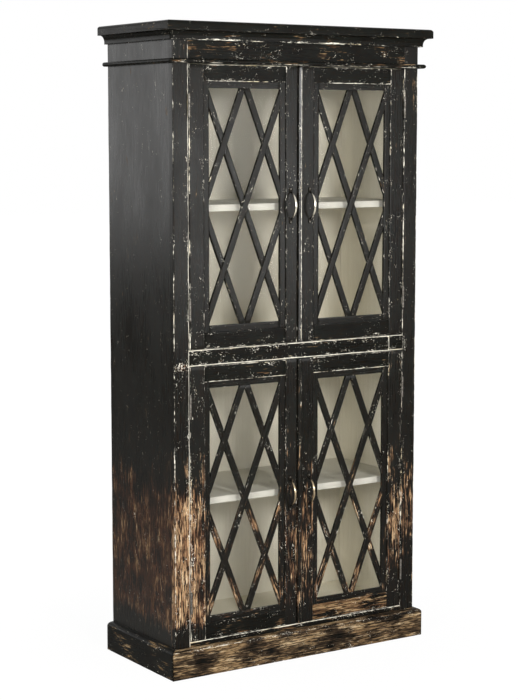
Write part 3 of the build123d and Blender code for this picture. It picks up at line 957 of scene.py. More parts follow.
@dataclass
class Case:
    """Sides, back, face frame, decks and shelves."""

    finishes: Finishes
    panel_wear: Weathering = Weathering(low=0.28, top=0.72)
    rear_rub: float = 0.3       # outer rear arris of the end panels
    gap_rub: dict[Hand, float] = field(default_factory=lambda: {Hand.LEFT: 0.86, Hand.RIGHT: 0.64})
    stile_bare: dict[Hand, float] = field(default_factory=lambda: {Hand.LEFT: 0.62, Hand.RIGHT: 0.32})
    stile_high: float = -0.02
    corner_rub: float = 0.62
    frieze_share: float = 0.72  # rub of the stiles' arrises beside the frieze
    end_block: float = 56 * MM  # short length at the right end of the middle rail
    joint_rub: float = 1.05
    deck_rub: float = 0.01      # softens the front arrises and wears nothing
    spots: tuple[Spot, ...] = ((-0.455, 1.012, 0.03, 0.5),)
    rail_wear: tuple[RailWear, ...] = (
        RailWear("bottom_rail", below=0.3, above=0.78, bare=0.26, chips=0.0),
        RailWear("middle_rail", below=0.93, above=0.84, bare=0.04, chips=0.05),
        RailWear("frieze_rail", below=0.2, above=0.2, bare=0.16, chips=0.03),
    )

    def build(self) -> None:
        """Make all the boards of the case."""
        self.sides()
        self.stiles()
        self.rails()
        self.decks()

    def sides(self) -> None:
        """Side panels, rabbeted at the rear for the back panel, and that panel."""
        black, ivory, worn = Coat.BLACK, Coat.IVORY, self.rear_rub
        back = Span.of("back_panel")
        rabbet = back.lo[1]
        for hand in Hand:
            node = f"{hand}_side_panel"
            (x0, x1), (y0, y1), (z0, z1) = Span.of(node).sides
            if hand is Hand.LEFT:
                step = back.lo[0]
                corners = [(x0, y0), (x1, y0), (x1, rabbet), (step, rabbet), (step, y1), (x0, y1)]
                faces = (black, ivory, black, black, black, black)
                rub = (0, 0, 0, 0, 0, worn)
            else:
                step = back.hi[0]
                corners = [(x0, y0), (x1, y0), (x1, y1), (step, y1), (step, rabbet), (x0, rabbet)]
                faces = (black, black, black, black, black, ivory)
                rub = (0, 0, worn, 0, 0, 0)
            maker = Maker(f"{node}_board")
            run = Run(Along.Z.rows, z0, z1, weathering=self.panel_wear)
            maker.carry(Outline.of(corners, rub, faces), run)
            maker.finish(CASE, node, self.finishes.coats(Place.END_PANEL))
        maker = Maker("back_panel_board")
        maker.board(back.lo, back.hi, Along.Z, faces=(ivory, black, black, black))
        maker.finish(CASE, "back_panel", self.finishes.coats(Place.UPRIGHT))

    def stiles(self) -> None:
        """Face-frame stiles, full height, rubbed along the door gap and the case corner."""
        faces = (Coat.BLACK, Coat.BLACK, Coat.IVORY, Coat.BLACK)
        calm = (float(Span.of("front_bead").lo[2]), self.frieze_share)
        for hand in Hand:
            node = f"{hand}_stile"
            span = Span.of(node)
            front = (self.corner_rub, self.gap_rub[hand])
            rub = (*(front if hand is Hand.LEFT else front[::-1]), 0, 0)
            wear = Weathering(low=self.stile_bare[hand], high=self.stile_high, spots=self.spots)
            maker = Maker(f"{node}_board")
            maker.board(span.lo, span.hi, Along.Z, rub, faces, weathering=wear, calm=calm)
            maker.finish(CASE, node, self.finishes.coats(Place.UPRIGHT))

    def rails(self) -> None:
        """Rails between the stiles; the corners run front bottom, back bottom, back top, front top."""
        left, right = Span.of("left_stile").hi[0], Span.of("right_stile").lo[0]
        faces = (Coat.BLACK, Coat.IVORY, Coat.BLACK, Coat.BLACK)
        for worn in self.rail_wear:
            span = Span.of(worn.node)
            rub = (worn.below, 0, 0, worn.above)
            wear = Weathering.even(worn.bare, worn.chips)
            maker = Maker(f"{worn.node}_board")
            cuts = [left, right - self.end_block, right] if worn.node == "middle_rail" else [left, right]
            for start, end in zip(cuts, cuts[1:]):
                lo, hi = (start, *span.lo[1:]), (end, *span.hi[1:])
                end_rub = (0.0, self.joint_rub if end < right else 0.0)
                maker.board(lo, hi, Along.X, rub, faces, weathering=wear, end_rub=end_rub)
            maker.finish(CASE, worn.node, self.finishes.coats(Place.LEVEL))

    def decks(self) -> None:
        """Bottom panel, fixed middle shelf and the loose shelves."""
        inside = Span.of("left_side_panel").hi[0], Span.of("right_side_panel").lo[0]
        rub = (self.deck_rub, 0, 0, self.deck_rub)
        for node, coat in (
            ("bottom_panel", Coat.IVORY),
            ("middle_shelf", Coat.IVORY),
            # The loose shelves take the darker shelf paint, partly painted shade
            ("lower_shelf", Coat.SHELF),
            ("upper_shelf", Coat.SHELF),
        ):
            span = Span.of(node)
            lo, hi = span.lo.copy(), span.hi.copy()
            lo[0], hi[0] = max(lo[0], inside[0]), min(hi[0], inside[1])
            maker = Maker(f"{node}_board")
            maker.board(lo, hi, Along.X, rub, (coat,) * 4)
            maker.finish(CASE, node, self.finishes.coats(Place.UPRIGHT))


@dataclass(frozen=True)
class MouldingWear:
    """Bare share of a moulding's front and returns, and how much of the rub the returns get."""

    front: float
    returns: float
    side_rub: float


@dataclass
class Mouldings:
    """Top board, cove, bead and plinth; a profile is a list of (out from the case, height)."""

    finishes: Finishes
    top_round: float = 10 * MM
    top_rub: tuple[float, float, float] = (0.35, 0.1, 0.2)    # front below, rear above, nose
    top_end_rub: float = 0.25
    top_bare: float = 0.05
    cove_foot: float = 12 * MM
    cove_foot_height: float = 6 * MM
    cove_rub: tuple[float, float, float] = (0.62, 0.3, 0.3)   # foot below, foot above, lip
    bead_rub: float = 0.66
    plinth_round: tuple[float, float] = (19 * MM, 13 * MM)
    plinth_rub: tuple[float, float] = (0.3, 0.6)              # below, nose
    mitre_round: float = 0.3 * MM
    arc_points: int = 9
    cove_wear: MouldingWear = MouldingWear(0.05, 0.03, 0.5)
    bead_wear: MouldingWear = MouldingWear(0.2, 0.03, 0.6)
    plinth_wear: MouldingWear = MouldingWear(0.44, 0.16, 0.5)

    def build(self) -> None:
        """Make the top board and the three mitred mouldings."""
        self.top()
        self.cove()
        self.bead()
        self.plinth()

    def top(self) -> None:
        """Top board, its upper arris rounded along the front and the two ends."""
        node = "top_board"
        span = Span.of(node)
        (x0, x1), (y0, y1), (z0, z1) = span.sides
        turn = np.linspace(0, math.pi / 2, self.arc_points)
        steps = self.top_round * (1 - np.cos(turn))
        nose = np.stack([y0 + self.top_round * (1 - np.sin(turn)), z1 - steps], 1)
        corners = [(y0, z0), (y1, z0), (y1, z1), *nose]
        front, rear, round_nose = self.top_rub
        rub = [front, 0, rear] + [0.0] * len(nose)
        rub[-3] = round_nose    # low on the nose, where it turns into the front
        soft = [True, False, True] + [False] * len(nose)
        run = Run(
            Along.X.rows, x0, x1, breaks=[*(x0 + steps), *(x1 - steps)],
            shape=partial(self.round_ends, span=span),
            weathering=Weathering.even(self.top_bare), end_rub=(self.top_end_rub,) * 2,
        )
        maker = Maker("top_board_slab")
        maker.carry(Outline.of(corners, rub, soft=soft), run)
        maker.finish(CASE, node, self.finishes.coats(Place.LEVEL))

    def round_ends(self, section: np.ndarray, along: np.ndarray, span: Span) -> np.ndarray:
        """Cross-section of the top board, rounded off at its two ends.

        Height is held below H - (R - sqrt(R^2 - (R - d)^2)) at a distance d < R from an end.

        Args:
            section: points (y, z).
            along: their x.
            span: box of the top board.

        Returns:
            The changed points.
        """
        radius = self.top_round
        lost = np.maximum(0.0, radius - np.minimum(along - span.lo[0], span.hi[0] - along))
        ceiling = span.hi[2] - (radius - np.sqrt(np.maximum(0.0, radius**2 - lost**2)))
        return np.stack([section[..., 0], np.minimum(section[..., 1], ceiling)], -1)

    def extent(self, node: str) -> tuple[float, float, float]:
        """Lowest and highest z of a front moulding, and how far it stands out from the case."""
        span = Span.of(node)
        return *span.over(2), Span.of("left_stile").lo[1] - span.lo[1]

    def mitred(
        self, name: str, profile: np.ndarray, rub: Sequence[float], worn: MouldingWear, place: Place
    ) -> None:
        """Front length and two returns of a moulding, with ends cut at 45 degrees.

        Args:
            name: cove, bead or plinth.
            profile: corners (out, height), anticlockwise with out to the right.
            rub: how hard each corner is rubbed.
            worn: wear of the front and of the returns.
            place: kind of painted piece.
        """
        coats = self.finishes.coats(place)
        case = Span.of("left_side_panel").lo[0], Span.of("right_side_panel").hi[0]
        face, rear = Span.of("left_stile").lo[1], Span.of("back_panel").hi[1]
        out, height = profile.T
        rub_at = np.asarray(rub, float)
        # Front: out points to -Y, so the outline is mirrored into (y, z) and turned round
        outline = Outline.of(np.stack([face - out, height], 1)[::-1], rub_at[::-1])
        reach = face - outline.base[:, 0]
        ends = {"weathering": Weathering.even(worn.front), "end_round": self.mitre_round}
        maker = Maker(f"front_{name}_length")
        maker.carry(outline, Run(Along.X.rows, case[0] - reach, case[1] + reach, **ends))
        maker.finish(CASE, f"front_{name}", coats)
        maker = Maker(f"{name}_returns_lengths")
        ends["weathering"] = Weathering.even(worn.returns)
        for sign, edge in ((-1, case[0]), (1, case[1])):
            corners = np.stack([height, edge + sign * out], 1)
            order = slice(None, None, -sign)
            outline = Outline.of(corners[order], (rub_at * worn.side_rub)[order])
            reach = np.abs(outline.base[:, 1] - edge)
            maker.carry(outline, Run(Along.Y.rows, face - reach, rear, **ends))
        maker.finish(CASE, f"{name}_returns", coats)

    def cove(self) -> None:
        """Hollow moulding under the top board: a quarter of an ellipse above a small foot."""
        z0, z1, out = self.extent("front_cove")
        rise = z0 + self.cove_foot_height
        turn = np.linspace(math.pi, math.pi / 2, self.arc_points)
        hollow = np.stack([out + (out - self.cove_foot) * np.cos(turn), rise + (z1 - rise) * np.sin(turn)], 1)
        profile = np.concatenate([[(0.0, z0), (self.cove_foot, z0)], hollow, [(0.0, z1)]])
        below, above, lip = self.cove_rub
        rub = [0.0, below, above] + [0.0] * (len(hollow) - 2) + [lip, 0.0]
        self.mitred("cove", profile, rub, self.cove_wear, Place.LEVEL)

    def bead(self) -> None:
        """Half-round nosing at the foot of the frieze."""
        z0, z1, out = self.extent("front_bead")
        radius = (z1 - z0) / 2
        turn = np.linspace(-math.pi / 2, math.pi / 2, 2 * self.arc_points - 1)
        nose = np.stack([out - radius + radius * np.cos(turn), z0 + radius + radius * np.sin(turn)], 1)
        profile = np.concatenate([[(0.0, z0)], nose, [(0.0, z1)]])
        rub = np.zeros(len(profile))
        rub[1 + self.arc_points // 2] = self.bead_rub
        self.mitred("bead", profile, rub, self.bead_wear, Place.LEVEL)

    def plinth(self) -> None:
        """Plinth boards with an upper edge rounded to a quarter of an ellipse."""
        z0, z1, out = self.extent("front_plinth")
        wide, high = self.plinth_round
        turn = np.linspace(0, math.pi / 2, self.arc_points)
        nose = np.stack([out - wide + wide * np.cos(turn), z1 - high + high * np.sin(turn)], 1)
        profile = np.concatenate([[(0.0, z0), (out, z0)], nose, [(0.0, z1)]])
        rub = np.zeros(len(profile))
        rub[1], rub[2 + self.arc_points // 3] = self.plinth_rub
        self.mitred("plinth", profile, rub, self.plinth_wear, Place.PLINTH)


@dataclass(frozen=True)
class DoorWear:
    """Wear that differs from the left doors to the right ones."""

    hinge_rub: float    # front arris on the hinge side
    hinge_bare: float   # bare share of the hinge stile
    rail_bare: float


@dataclass
class Door:
    """One glazed lattice door."""

    finishes: Finishes
    level: Level
    hand: Hand
    rim: float = 9.5 * MM       # lattice held behind the frame's lip
    rebate: float = 10 * MM
    lip: float = 4 * MM
    border: float = 21 * MM
    bar: float = 21 * MM
    bar_round: float = 1.2 * MM
    bar_end_round: float = 0.25 * MM
    glazing_bead: float = 14 * MM
    bead_round: float = 1.2 * MM
    hair: float = 0.05 * MM     # length over which the rebate stops
    nose_points: int = 15
    wear: dict[Hand, DoorWear] = field(default_factory=lambda: {
        Hand.LEFT: DoorWear(hinge_rub=0.6, hinge_bare=0.52, rail_bare=0.18),
        Hand.RIGHT: DoorWear(hinge_rub=0.45, hinge_bare=0.33, rail_bare=0.52),
    })
    free_rub: float = 0.3       # front arris on the free side
    free_bare: float = 0.36
    inner_rub: float = 0.46
    rear_rub: float = 0.2
    stile_end_rub: float = 0.5
    stile_chips: float = 0.01
    bottom_rail_rub: tuple[float, ...] = (0.6, 0.2, 0, 0, 0, 0.3)
    top_rail_rub: tuple[float, ...] = (0.7, 0, 0, 0, 0.2, 0.65)
    rail_end_rub: float = 0.05
    rail_high: float = 0.05
    rail_foot: float = 0.05
    rail_chips: float = 0.015
    lattice_wear: Weathering = Weathering(low=0.27, high=-0.05, chips=0.02)
    lattice_rub: tuple[float, float] = (0.3, 0.1)    # front and rear
    glazing_rub: float = 0.2
    strip_wear: Weathering = Weathering(low=0.3, high=0.1)
    # Pale line down the front of the meeting strip: real rub, and on the upper strip also a painted
    # highlight, which is why it is stronger there
    strip_rub: dict[Level, float] = field(default_factory=lambda: {Level.UPPER: 0.84, Level.LOWER: 0.5})
    spots: tuple[Spot, ...] = (
        (-0.245, 1.914, 0.03, 0.24), (-0.37, 1.94, 0.03, 0.16), (-0.15, 0.962, 0.05, 0.2),
    )

    def __post_init__(self) -> None:
        """Read the door's place from the frame."""
        self.name = f"{self.level}_{self.hand}_door"
        self.frame = Span.of(f"{self.name}_stiles")
        self.panel = Span.of(f"{self.name}_lattice")
        inset = np.array([self.rim, 0, self.rim])
        self.inner = Span(self.panel.lo + inset, self.panel.hi - inset)

    def build(self) -> None:
        """Make the frame, the lattice, the glazing beads and the pull."""
        self.stiles()
        self.rails()
        self.lattice()
        self.glazing()
        Pull(self.finishes.brass[self.level], self.name).build()
        if self.hand is Hand.RIGHT:
            self.meeting_bead()

    def stiles(self) -> None:
        """Stiles, rebated behind the lip between the rails."""
        node = f"{self.name}_stiles"
        (x0, x3), (y0, y1), (z0, z1) = self.frame.sides
        x1, x2 = self.inner.over(0)
        lip, cut = y0 + self.lip, self.rebate
        left = [(x0, y0), (x1, y0), (x1, lip), (x1 - cut, lip), (x1 - cut, y1), (x0, y1)]
        right = [(x2, y0), (x3, y0), (x3, y1), (x2 + cut, y1), (x2 + cut, lip), (x2, lip)]
        worn = self.wear[self.hand]
        edges = (worn.hinge_rub, worn.hinge_bare), (self.free_rub, self.free_bare)
        (left_rub, left_bare), (right_rub, right_bare) = edges if self.hand is Hand.LEFT else edges[::-1]
        stops = self.inner.lo[2] - cut, self.inner.hi[2] + cut
        breaks = [stop + side * self.hair for stop in stops for side in (-1, 1)]
        maker = Maker(f"{node}_boards")
        for corners, rub, step, edge, low in (
            (left, (left_rub, self.inner_rub, 0, 0, 0, self.rear_rub), x1 - cut, x1, left_bare),
            (right, (self.inner_rub, right_rub, self.rear_rub, 0, 0, 0), x2 + cut, x2, right_bare),
        ):
            run = Run(
                Along.Z.rows, z0, z1, breaks=breaks, end_rub=(self.stile_end_rub,) * 2,
                shape=partial(self.stop_rebate, stops=stops, step=step, edge=edge),
                weathering=Weathering(low=low, chips=self.stile_chips, spots=self.spots),
            )
            maker.carry(Outline.of(corners, rub), run)
        maker.finish(self.name, node, self.finishes.coats(Place.UPRIGHT))

    def stop_rebate(
        self, section: np.ndarray, along: np.ndarray, stops: tuple[float, float], step: float, edge: float
    ) -> np.ndarray:
        """Cross-section of a stile, whole beside the rails.

        There x = step, the depth of the rebate, becomes x = edge.

        Args:
            section: points (x, y).
            along: their z.
            stops: heights between which the rebate runs.
            step: x of the rebate's inner side.
            edge: x of the stile's inner edge.

        Returns:
            The changed points.
        """
        x, y = section[..., 0], section[..., 1]
        whole = (along < stops[0]) | (along > stops[1])
        return np.stack([np.where(whole & (np.abs(x - step) < SAME_LINE), edge, x), y], -1)

    def rails(self) -> None:
        """Rails between the stiles, rebated on their inner edges."""
        node = f"{self.name}_rails"
        _, (y0, y1), (z0, z3) = self.frame.sides
        (x1, x2), _, (z1, z2) = self.inner.sides
        lip, cut = y0 + self.lip, self.rebate
        bottom = [(y0, z0), (y1, z0), (y1, z1 - cut), (lip, z1 - cut), (lip, z1), (y0, z1)]
        top = [(y0, z2), (lip, z2), (lip, z2 + cut), (y1, z2 + cut), (y1, z3), (y0, z3)]
        wear = Weathering(
            low=self.wear[self.hand].rail_bare, high=self.rail_high, foot=self.rail_foot,
            chips=self.rail_chips, spots=self.spots,
        )
        maker = Maker(f"{node}_boards")
        for corners, rub in ((bottom, self.bottom_rail_rub), (top, self.top_rail_rub)):
            run = Run(Along.X.rows, x1, x2, weathering=wear, end_rub=(self.rail_end_rub,) * 2)
            maker.carry(Outline.of(corners, rub), run)
        maker.finish(self.name, node, self.finishes.coats(Place.LEVEL))

    def lattice(self) -> None:
        """Border strips and crossed bars; a falling bar stops at the rising ones."""
        node = f"{self.name}_lattice"
        (rx0, rx1), (y0, y1), (rz0, rz1) = self.panel.sides
        (x0, x1), _, (z0, z1) = self.inner.sides
        ox, oz = (x0 + self.border, x1 - self.border), (z0 + self.border, z1 - self.border)
        mx, mz = (x0 + x1) / 2, (z0 + z1) / 2
        front, rear = self.lattice_rub
        maker = Maker(f"{node}_bars")
        for lo, hi, along, rub in (
            ((rx0, y0, rz0), (ox[0], y1, rz1), Along.Z, (0, front, rear, 0)),
            ((ox[1], y0, rz0), (rx1, y1, rz1), Along.Z, (front, 0, 0, rear)),
            ((ox[0], y0, rz0), (ox[1], y1, oz[0]), Along.X, (0, 0, rear, front)),
            ((ox[0], y0, oz[1]), (ox[1], y1, rz1), Along.X, (front, rear, 0, 0)),
        ):
            maker.board(lo, hi, along, rub, weathering=self.lattice_wear, radius=self.bar_round)
        left, right, below, above = (ox[0], mx), (mx, ox[1]), (oz[0], mz), (mz, oz[1])
        rise = np.array([x1 - x0, z1 - z0]) / math.hypot(x1 - x0, z1 - z0)
        starts = [np.array(start) for start in ((x0, z0), (x0, mz), (mx, z0))]
        for start, keep in zip(starts, ((ox, oz), (left, above), (right, below))):
            self.stick(maker, start, rise, keep, [])
        fall = rise * (1, -1)
        for start, end, keep in (
            ((x0, z1), (x1, z0), (ox, oz)),
            ((mx, z1), (x1, mz), (right, above)),
            ((x0, mz), (mx, z0), (left, below)),
        ):
            met = self.crossings(np.array(start), np.array(end), fall, rise, starts)
            self.stick(maker, np.array(start), fall, keep, met, rise)
        maker.finish(self.name, node, self.finishes.coats(Place.UPRIGHT))

    @staticmethod
    def side_of(way: np.ndarray) -> np.ndarray:
        """Direction across a bar that runs along way."""
        return np.array([way[1], -way[0]])

    def crossings(
        self,
        start: np.ndarray,
        end: np.ndarray,
        fall: np.ndarray,
        rise: np.ndarray,
        others: Sequence[np.ndarray],
    ) -> list[np.ndarray]:
        """Rising bars that a falling bar meets, in order.

        Args:
            start: start of the falling bar.
            end: its end.
            fall: its direction.
            rise: direction of the rising bars.
            others: starts of the rising bars.

        Returns:
            Starts of the rising bars that it meets.
        """
        across = self.side_of(rise)
        length = float(np.linalg.norm(end - start))
        at = np.array([(other - start) @ across / (fall @ across) for other in others])
        return [others[i] for i in np.argsort(at) if self.bar < at[i] < length - self.bar]

    def stick(
        self,
        maker: Maker,
        origin: np.ndarray,
        way: np.ndarray,
        keep: tuple[tuple[float, float], tuple[float, float]],
        crossed: Sequence[np.ndarray],
        other_way: Optional[np.ndarray] = None,
    ) -> None:
        """One bar, or the lengths of it between the bars it meets.

        Its centre line runs from the origin along way. The line at a distance c across it is
        kept where it lies inside the rectangle and outside the bars it meets.

        Args:
            maker: mesh that gets it.
            origin: start of its centre line, as x and z.
            way: direction of its centre line.
            keep: rectangle that it is trimmed to.
            crossed: starts of the bars that it stops at.
            other_way: direction of those bars.
        """
        half = self.bar / 2
        front, rear = self.panel.over(1)
        front_rub, rear_rub = self.lattice_rub
        side = self.side_of(way)
        enter = np.array([span[0] if step > 0 else span[1] for span, step in zip(keep, way)])
        leave = np.array([span[1] if step > 0 else span[0] for span, step in zip(keep, way)])
        kinks = sorted((point - origin) @ side for point in (enter, leave))
        lines = [-half, *(c for c in kinks if abs(c) < half - KINK_CLEAR), half]
        corners = [(c, front) for c in lines] + [(c, rear) for c in reversed(lines)]
        flat = [0.0] * (len(lines) - 2)
        rub = [front_rub, *flat, front_rub, rear_rub, *flat, rear_rub]
        outline = Outline.of(corners, rub)
        offset = origin + outline.base[:, :1] * side
        stops = [((enter - offset) / way).max(1)]
        for other in crossed:
            across = self.side_of(other_way)
            reach = (other - offset) @ across
            stops += list(np.sort(np.stack([reach - half, reach + half]) / (way @ across), axis=0))
        stops.append(((leave - offset) / way).min(1))
        rows = np.array([(side[0], 0, side[1]), (0, 1, 0), (way[0], 0, way[1])])
        for first, last in zip(stops[::2], stops[1::2]):
            run = Run(
                rows, first, last, origin=np.array([origin[0], 0, origin[1]]), radius=self.bar_round,
                weathering=self.lattice_wear, end_round=self.bar_end_round,
            )
            maker.carry(outline, run)

    def glazing(self) -> None:
        """Beads that hold the glass."""
        node = f"{self.name}_glazing_beads"
        (x0, x1), (y0, y1), (z0, z1) = Span.of(node).sides
        wide, rub = self.glazing_bead, self.glazing_rub
        maker = Maker(f"{node}_strips")
        maker.board((x0, y0, z0), (x0 + wide, y1, z1), Along.Z, (0, 0, rub, 0))
        maker.board((x1 - wide, y0, z0), (x1, y1, z1), Along.Z, (0, 0, 0, rub))
        maker.board((x0 + wide, y0, z0), (x1 - wide, y1, z0 + wide), Along.X, (0, 0, rub, 0))
        maker.board((x0 + wide, y0, z1 - wide), (x1 - wide, y1, z1), Along.X, (0, rub, 0, 0))
        maker.finish(self.name, node, self.finishes.coats(Place.UPRIGHT))

    def meeting_bead(self) -> None:
        """Half-round strip on the free edge of a right-hand door."""
        node = f"{self.level}_meeting_bead"
        (x0, x1), (y0, y1), (z0, z1) = Span.of(node).sides
        turn = np.linspace(math.pi, 2 * math.pi, self.nose_points)
        wide, deep = (x1 - x0) / 2, y1 - y0
        nose = np.stack([(x0 + x1) / 2 + wide * np.cos(turn), y1 + deep * np.sin(turn)], 1)
        rub = np.zeros(len(nose))
        # Pale line down the strip's front: partly rub, partly painted highlight
        rub[len(nose) // 2] = self.strip_rub[self.level]
        maker = Maker(f"{node}_strip")
        maker.carry(
            Outline.of(nose, rub, soft=[False] * len(nose)),
            Run(Along.Z.rows, z0, z1, weathering=self.strip_wear, end_round=self.bead_round),
        )
        place = Place.STRIP if self.level is Level.UPPER else Place.UPRIGHT
        maker.finish(self.name, node, self.finishes.coats(place))


@dataclass
class Pull:
    """Bow pull: a tapering round bar bent to an arc between two oval feet."""

    brass: bpy.types.Material
    door: str
    bow_length: float = 88 * MM
    bow_radius: float = 4 * MM
    bow_stations: int = 49
    bow_sides: int = 24
    thin: float = 0.52
    # The bright band on the bow is partly rubbed metal and partly a painted highlight, a crescent where the
    # lamps reflect
    held_length: tuple[float, float] = (0.92, 0.5)    # share of the bow where the shine starts and is full
    held_side: tuple[float, float] = (-0.1, 0.7)      # the same round the bar, as a cosine
    foot_length: float = 19 * MM
    foot_width: float = 13 * MM
    foot_height: float = 2.8 * MM
    foot_centre: float = 50 * MM
    foot_half: float = 1.5 * MM
    foot_sides: int = 40
    foot_power: float = 2.6
    foot_rings: tuple[float, ...] = (1.0, 1.0, 0.97, 0.90, 0.80)
    foot_heights: tuple[float, ...] = (0.0, 0.55, 0.82, 0.97, 1.0)
    foot_rub: float = 0.08

    def build(self) -> None:
        """Make the bow and its feet.

        The bow's line is C + R (0, -cos t, sin t), and its radius eases from the thin ends
        to the full middle.
        """
        node = f"{self.door}_handle"
        span = Span.of(node)
        x, _, z = (span.lo + span.hi) / 2
        face = span.hi[1]
        out = face - span.lo[1] - self.bow_radius - self.foot_half
        half = self.bow_length / 2
        bend = (half**2 + out**2) / (2 * out)
        centre_y = span.lo[1] + self.bow_radius + bend
        limit = math.asin(half / bend)
        t = np.linspace(-limit, limit, self.bow_stations)[:, None]
        around = np.linspace(0, 2 * math.pi, self.bow_sides, endpoint=False)[None]
        swell = self.bow_radius * (self.thin + (1 - self.thin) * ease(np.cos(t), math.cos(limit), 1.0))
        away = bend + swell * np.cos(around)
        grid = np.stack([x + swell * np.sin(around), centre_y - away * np.cos(t), z + away * np.sin(t)], -1)
        # Painted highlight and rub: bright towards the middle of the bow and on its front side
        rub_and_highlight = ease(np.abs(t) / limit, *self.held_length) * ease(np.cos(around), *self.held_side)
        maker = Maker(f"{node}_bow")
        maker.add(grid, np.zeros(self.bow_sides), grain=grid, rub=rub_and_highlight)
        for sign in (-1, 1):
            self.foot(maker, np.array([x, face, z + sign * self.foot_centre]))
        maker.finish(self.door, node, (self.brass,))

    def foot(self, maker: Maker, place: np.ndarray) -> None:
        """Oval foot with a softened edge, built as rings of a superellipse.

        A ring is (W sgn(cos a) |cos a|^(2/n), L sgn(sin a) |sin a|^(2/n)) times its size.

        Args:
            maker: mesh that gets it.
            place: middle of the foot on the door face.
        """
        around = np.linspace(0, 2 * math.pi, self.foot_sides, endpoint=False)[None]
        wide, tall = (
            np.sign(wave) * np.abs(wave) ** (2 / self.foot_power) * size / 2
            for wave, size in ((np.cos(around), self.foot_width), (np.sin(around), self.foot_length))
        )
        size = np.array(self.foot_rings)[:, None]
        height = np.array(self.foot_heights)[:, None] * self.foot_height
        grid = np.stack([size * wide, -height + 0 * wide, size * tall], -1) + place
        maker.add(grid, np.zeros(self.foot_sides), grain=grid, rub=self.foot_rub)


@dataclass
class Hardware:
    """Glass, hinges, screws, catches and cleats, left as the CAD made them."""

    finishes: Finishes
    nodes: dict[str, bpy.types.Object]

    def dress(self) -> None:
        """Give each of those nodes its material."""
        steel = dict.fromkeys(("leaves", "fixings", "pins", "screws", "catches"), self.finishes.steel)
        kinds = {**steel, "glass": self.finishes.glass, "cleats": self.finishes.ivory}
        for name, node in self.nodes.items():
            material = kinds.get(name.rsplit("_", 1)[-1])
            if material is None:
                continue
            node.data.materials.clear()
            node.data.materials.append(material)
            LOG.info("%s: %s", name, material.name)


@dataclass(frozen=True)
class Lamp:
    """Square soft lamp: where it stands, the point that it faces, its side in metres and its watts."""

    name: str
    place: tuple[float, float, float]
    aim: tuple[float, float, float]
    size: float
    power: float

    def build(self) -> None:
        """Put the lamp on the stage, turned so that its own -Z faces its aim."""
        light = bpy.data.lights.new(self.name, "AREA")
        light.energy = self.power
        light.size = self.size
        lamp = bpy.data.objects.new(self.name, light)
        lamp.location = self.place
        dx, dy, dz = (a - b for a, b in zip(self.aim, self.place))
        lamp.rotation_euler = (math.atan2(math.hypot(dx, dy), -dz), 0, math.atan2(-dx, dy))
        bpy.context.scene.collection.objects.link(lamp)


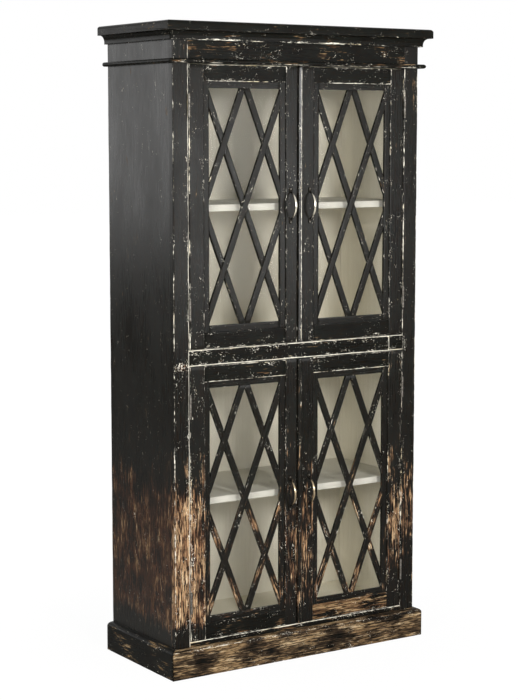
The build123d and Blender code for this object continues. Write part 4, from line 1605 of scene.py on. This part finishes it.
@dataclass
class Studio:
    """Camera at the photograph's angle, a pale floor and soft light."""

    lens: float = 93.03         # millimetres
    camera_place: tuple[float, float, float] = (-3.3706, -5.0930, 1.7511)
    heading: float = -33.23     # degrees, about the vertical
    dip: float = 6.82           # degrees below level
    floor_half: float = 30.0
    floor_paint: str = "F2F0EC"
    floor_glow: float = 1.02
    shadow_reach: tuple[float, float] = (0.3, 1.5)    # where the floor's shadow starts to fade and is gone
    shadow_share: float = 0.94                        # share of white over the shadow near the foot
    background: str = "FFFFFF"
    ambient: float = 0.06
    lamps: tuple[Lamp, ...] = (
        Lamp("key", (-0.5, -4.6, 2.5), (0, 0, 1.0), 1.1, 158),
        Lamp("fill", (-4.1, -2.85, 1.9), (0.3, 0, 1.0), 1.4, 150),
        Lamp("sheen", (1.85, -3.55, 1.4), (-0.25, 0, 1.5), 1.1, 33),   # mirrored in the front
        Lamp("rim", (-3.2, 4.7, 2.0), (-0.4, 0, 1.5), 1.8, 24),        # mirrored in the left end
    )

    def build(self) -> None:
        """Set up the stage."""
        scene = bpy.context.scene
        scene.view_settings.view_transform = "Standard"
        camera = bpy.data.cameras.new("camera")
        camera.lens = self.lens
        eye = bpy.data.objects.new("camera", camera)
        eye.location = self.camera_place
        eye.rotation_euler = (math.radians(90 - self.dip), 0, math.radians(self.heading))
        scene.collection.objects.link(eye)
        scene.camera = eye
        self.floor()
        self.world()
        for lamp in self.lamps:
            lamp.build()

    def floor(self) -> None:
        """Pale floor that keeps a soft contact shadow and is white to the camera elsewhere."""
        half = self.floor_half
        corners = [(-half, -half, 0), (half, -half, 0), (half, half, 0), (-half, half, 0)]
        mesh = bpy.data.meshes.new("floor")
        mesh.from_pydata(corners, [], [(0, 1, 2, 3)])
        floor = bpy.data.objects.new("floor", mesh)
        bpy.context.scene.collection.objects.link(floor)
        material, tree = blank("pale_floor")
        matte = add(tree, "BsdfDiffuse", {"Color": colour(self.floor_paint)})
        glow = add(tree, "Emission", {"Color": colour(self.background), "Strength": self.floor_glow})
        seen = add(tree, "LightPath", out="Is Camera Ray")
        place = add(tree, "TexCoord", out="Object")
        away = add(tree, "VectorMath", {0: place}, out="Value", operation="LENGTH")
        near, far = self.shadow_reach
        clear = add(tree, "MapRange", {"Value": away, 1: near, 2: far, 3: self.shadow_share, 4: 1.0})
        share = add(tree, "Math", {0: seen, 1: clear}, operation="MULTIPLY")
        both = add(tree, "MixShader", {0: share, 1: matte, 2: glow})
        add(tree, "OutputMaterial", {"Surface": both})
        mesh.materials.append(material)

    def world(self) -> None:
        """Soft even light, white where it is seen directly, mirrored or through glass."""
        world = bpy.data.worlds.new("studio")
        bpy.context.scene.world = world
        world.use_nodes = True
        tree = world.node_tree
        tree.nodes.clear()
        seen = add(tree, "LightPath", out="Is Camera Ray")
        rays = seen.node.outputs
        for ray in ("Is Glossy Ray", "Is Transmission Ray"):
            seen = add(tree, "Math", {0: seen, 1: rays[ray]}, operation="ADD", use_clamp=True)
        strength = add(tree, "MapRange", {"Value": seen, 3: self.ambient, 4: 1.0})
        light = add(tree, "Background", {"Color": colour(self.background), "Strength": strength})
        add(tree, "OutputWorld", {"Surface": light})


def main() -> None:
    """Load the frame, make every piece and set the stage."""
    logging.basicConfig(level=logging.INFO, format="%(name)s %(message)s")
    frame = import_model()
    finishes = Finishes()
    Case(finishes).build()
    Mouldings(finishes).build()
    for level in Level:
        for hand in Hand:
            Door(finishes, level, hand).build()
    Hardware(finishes, frame["nodes"]).dress()
    Studio().build()


if __name__ == "__main__":
    main()
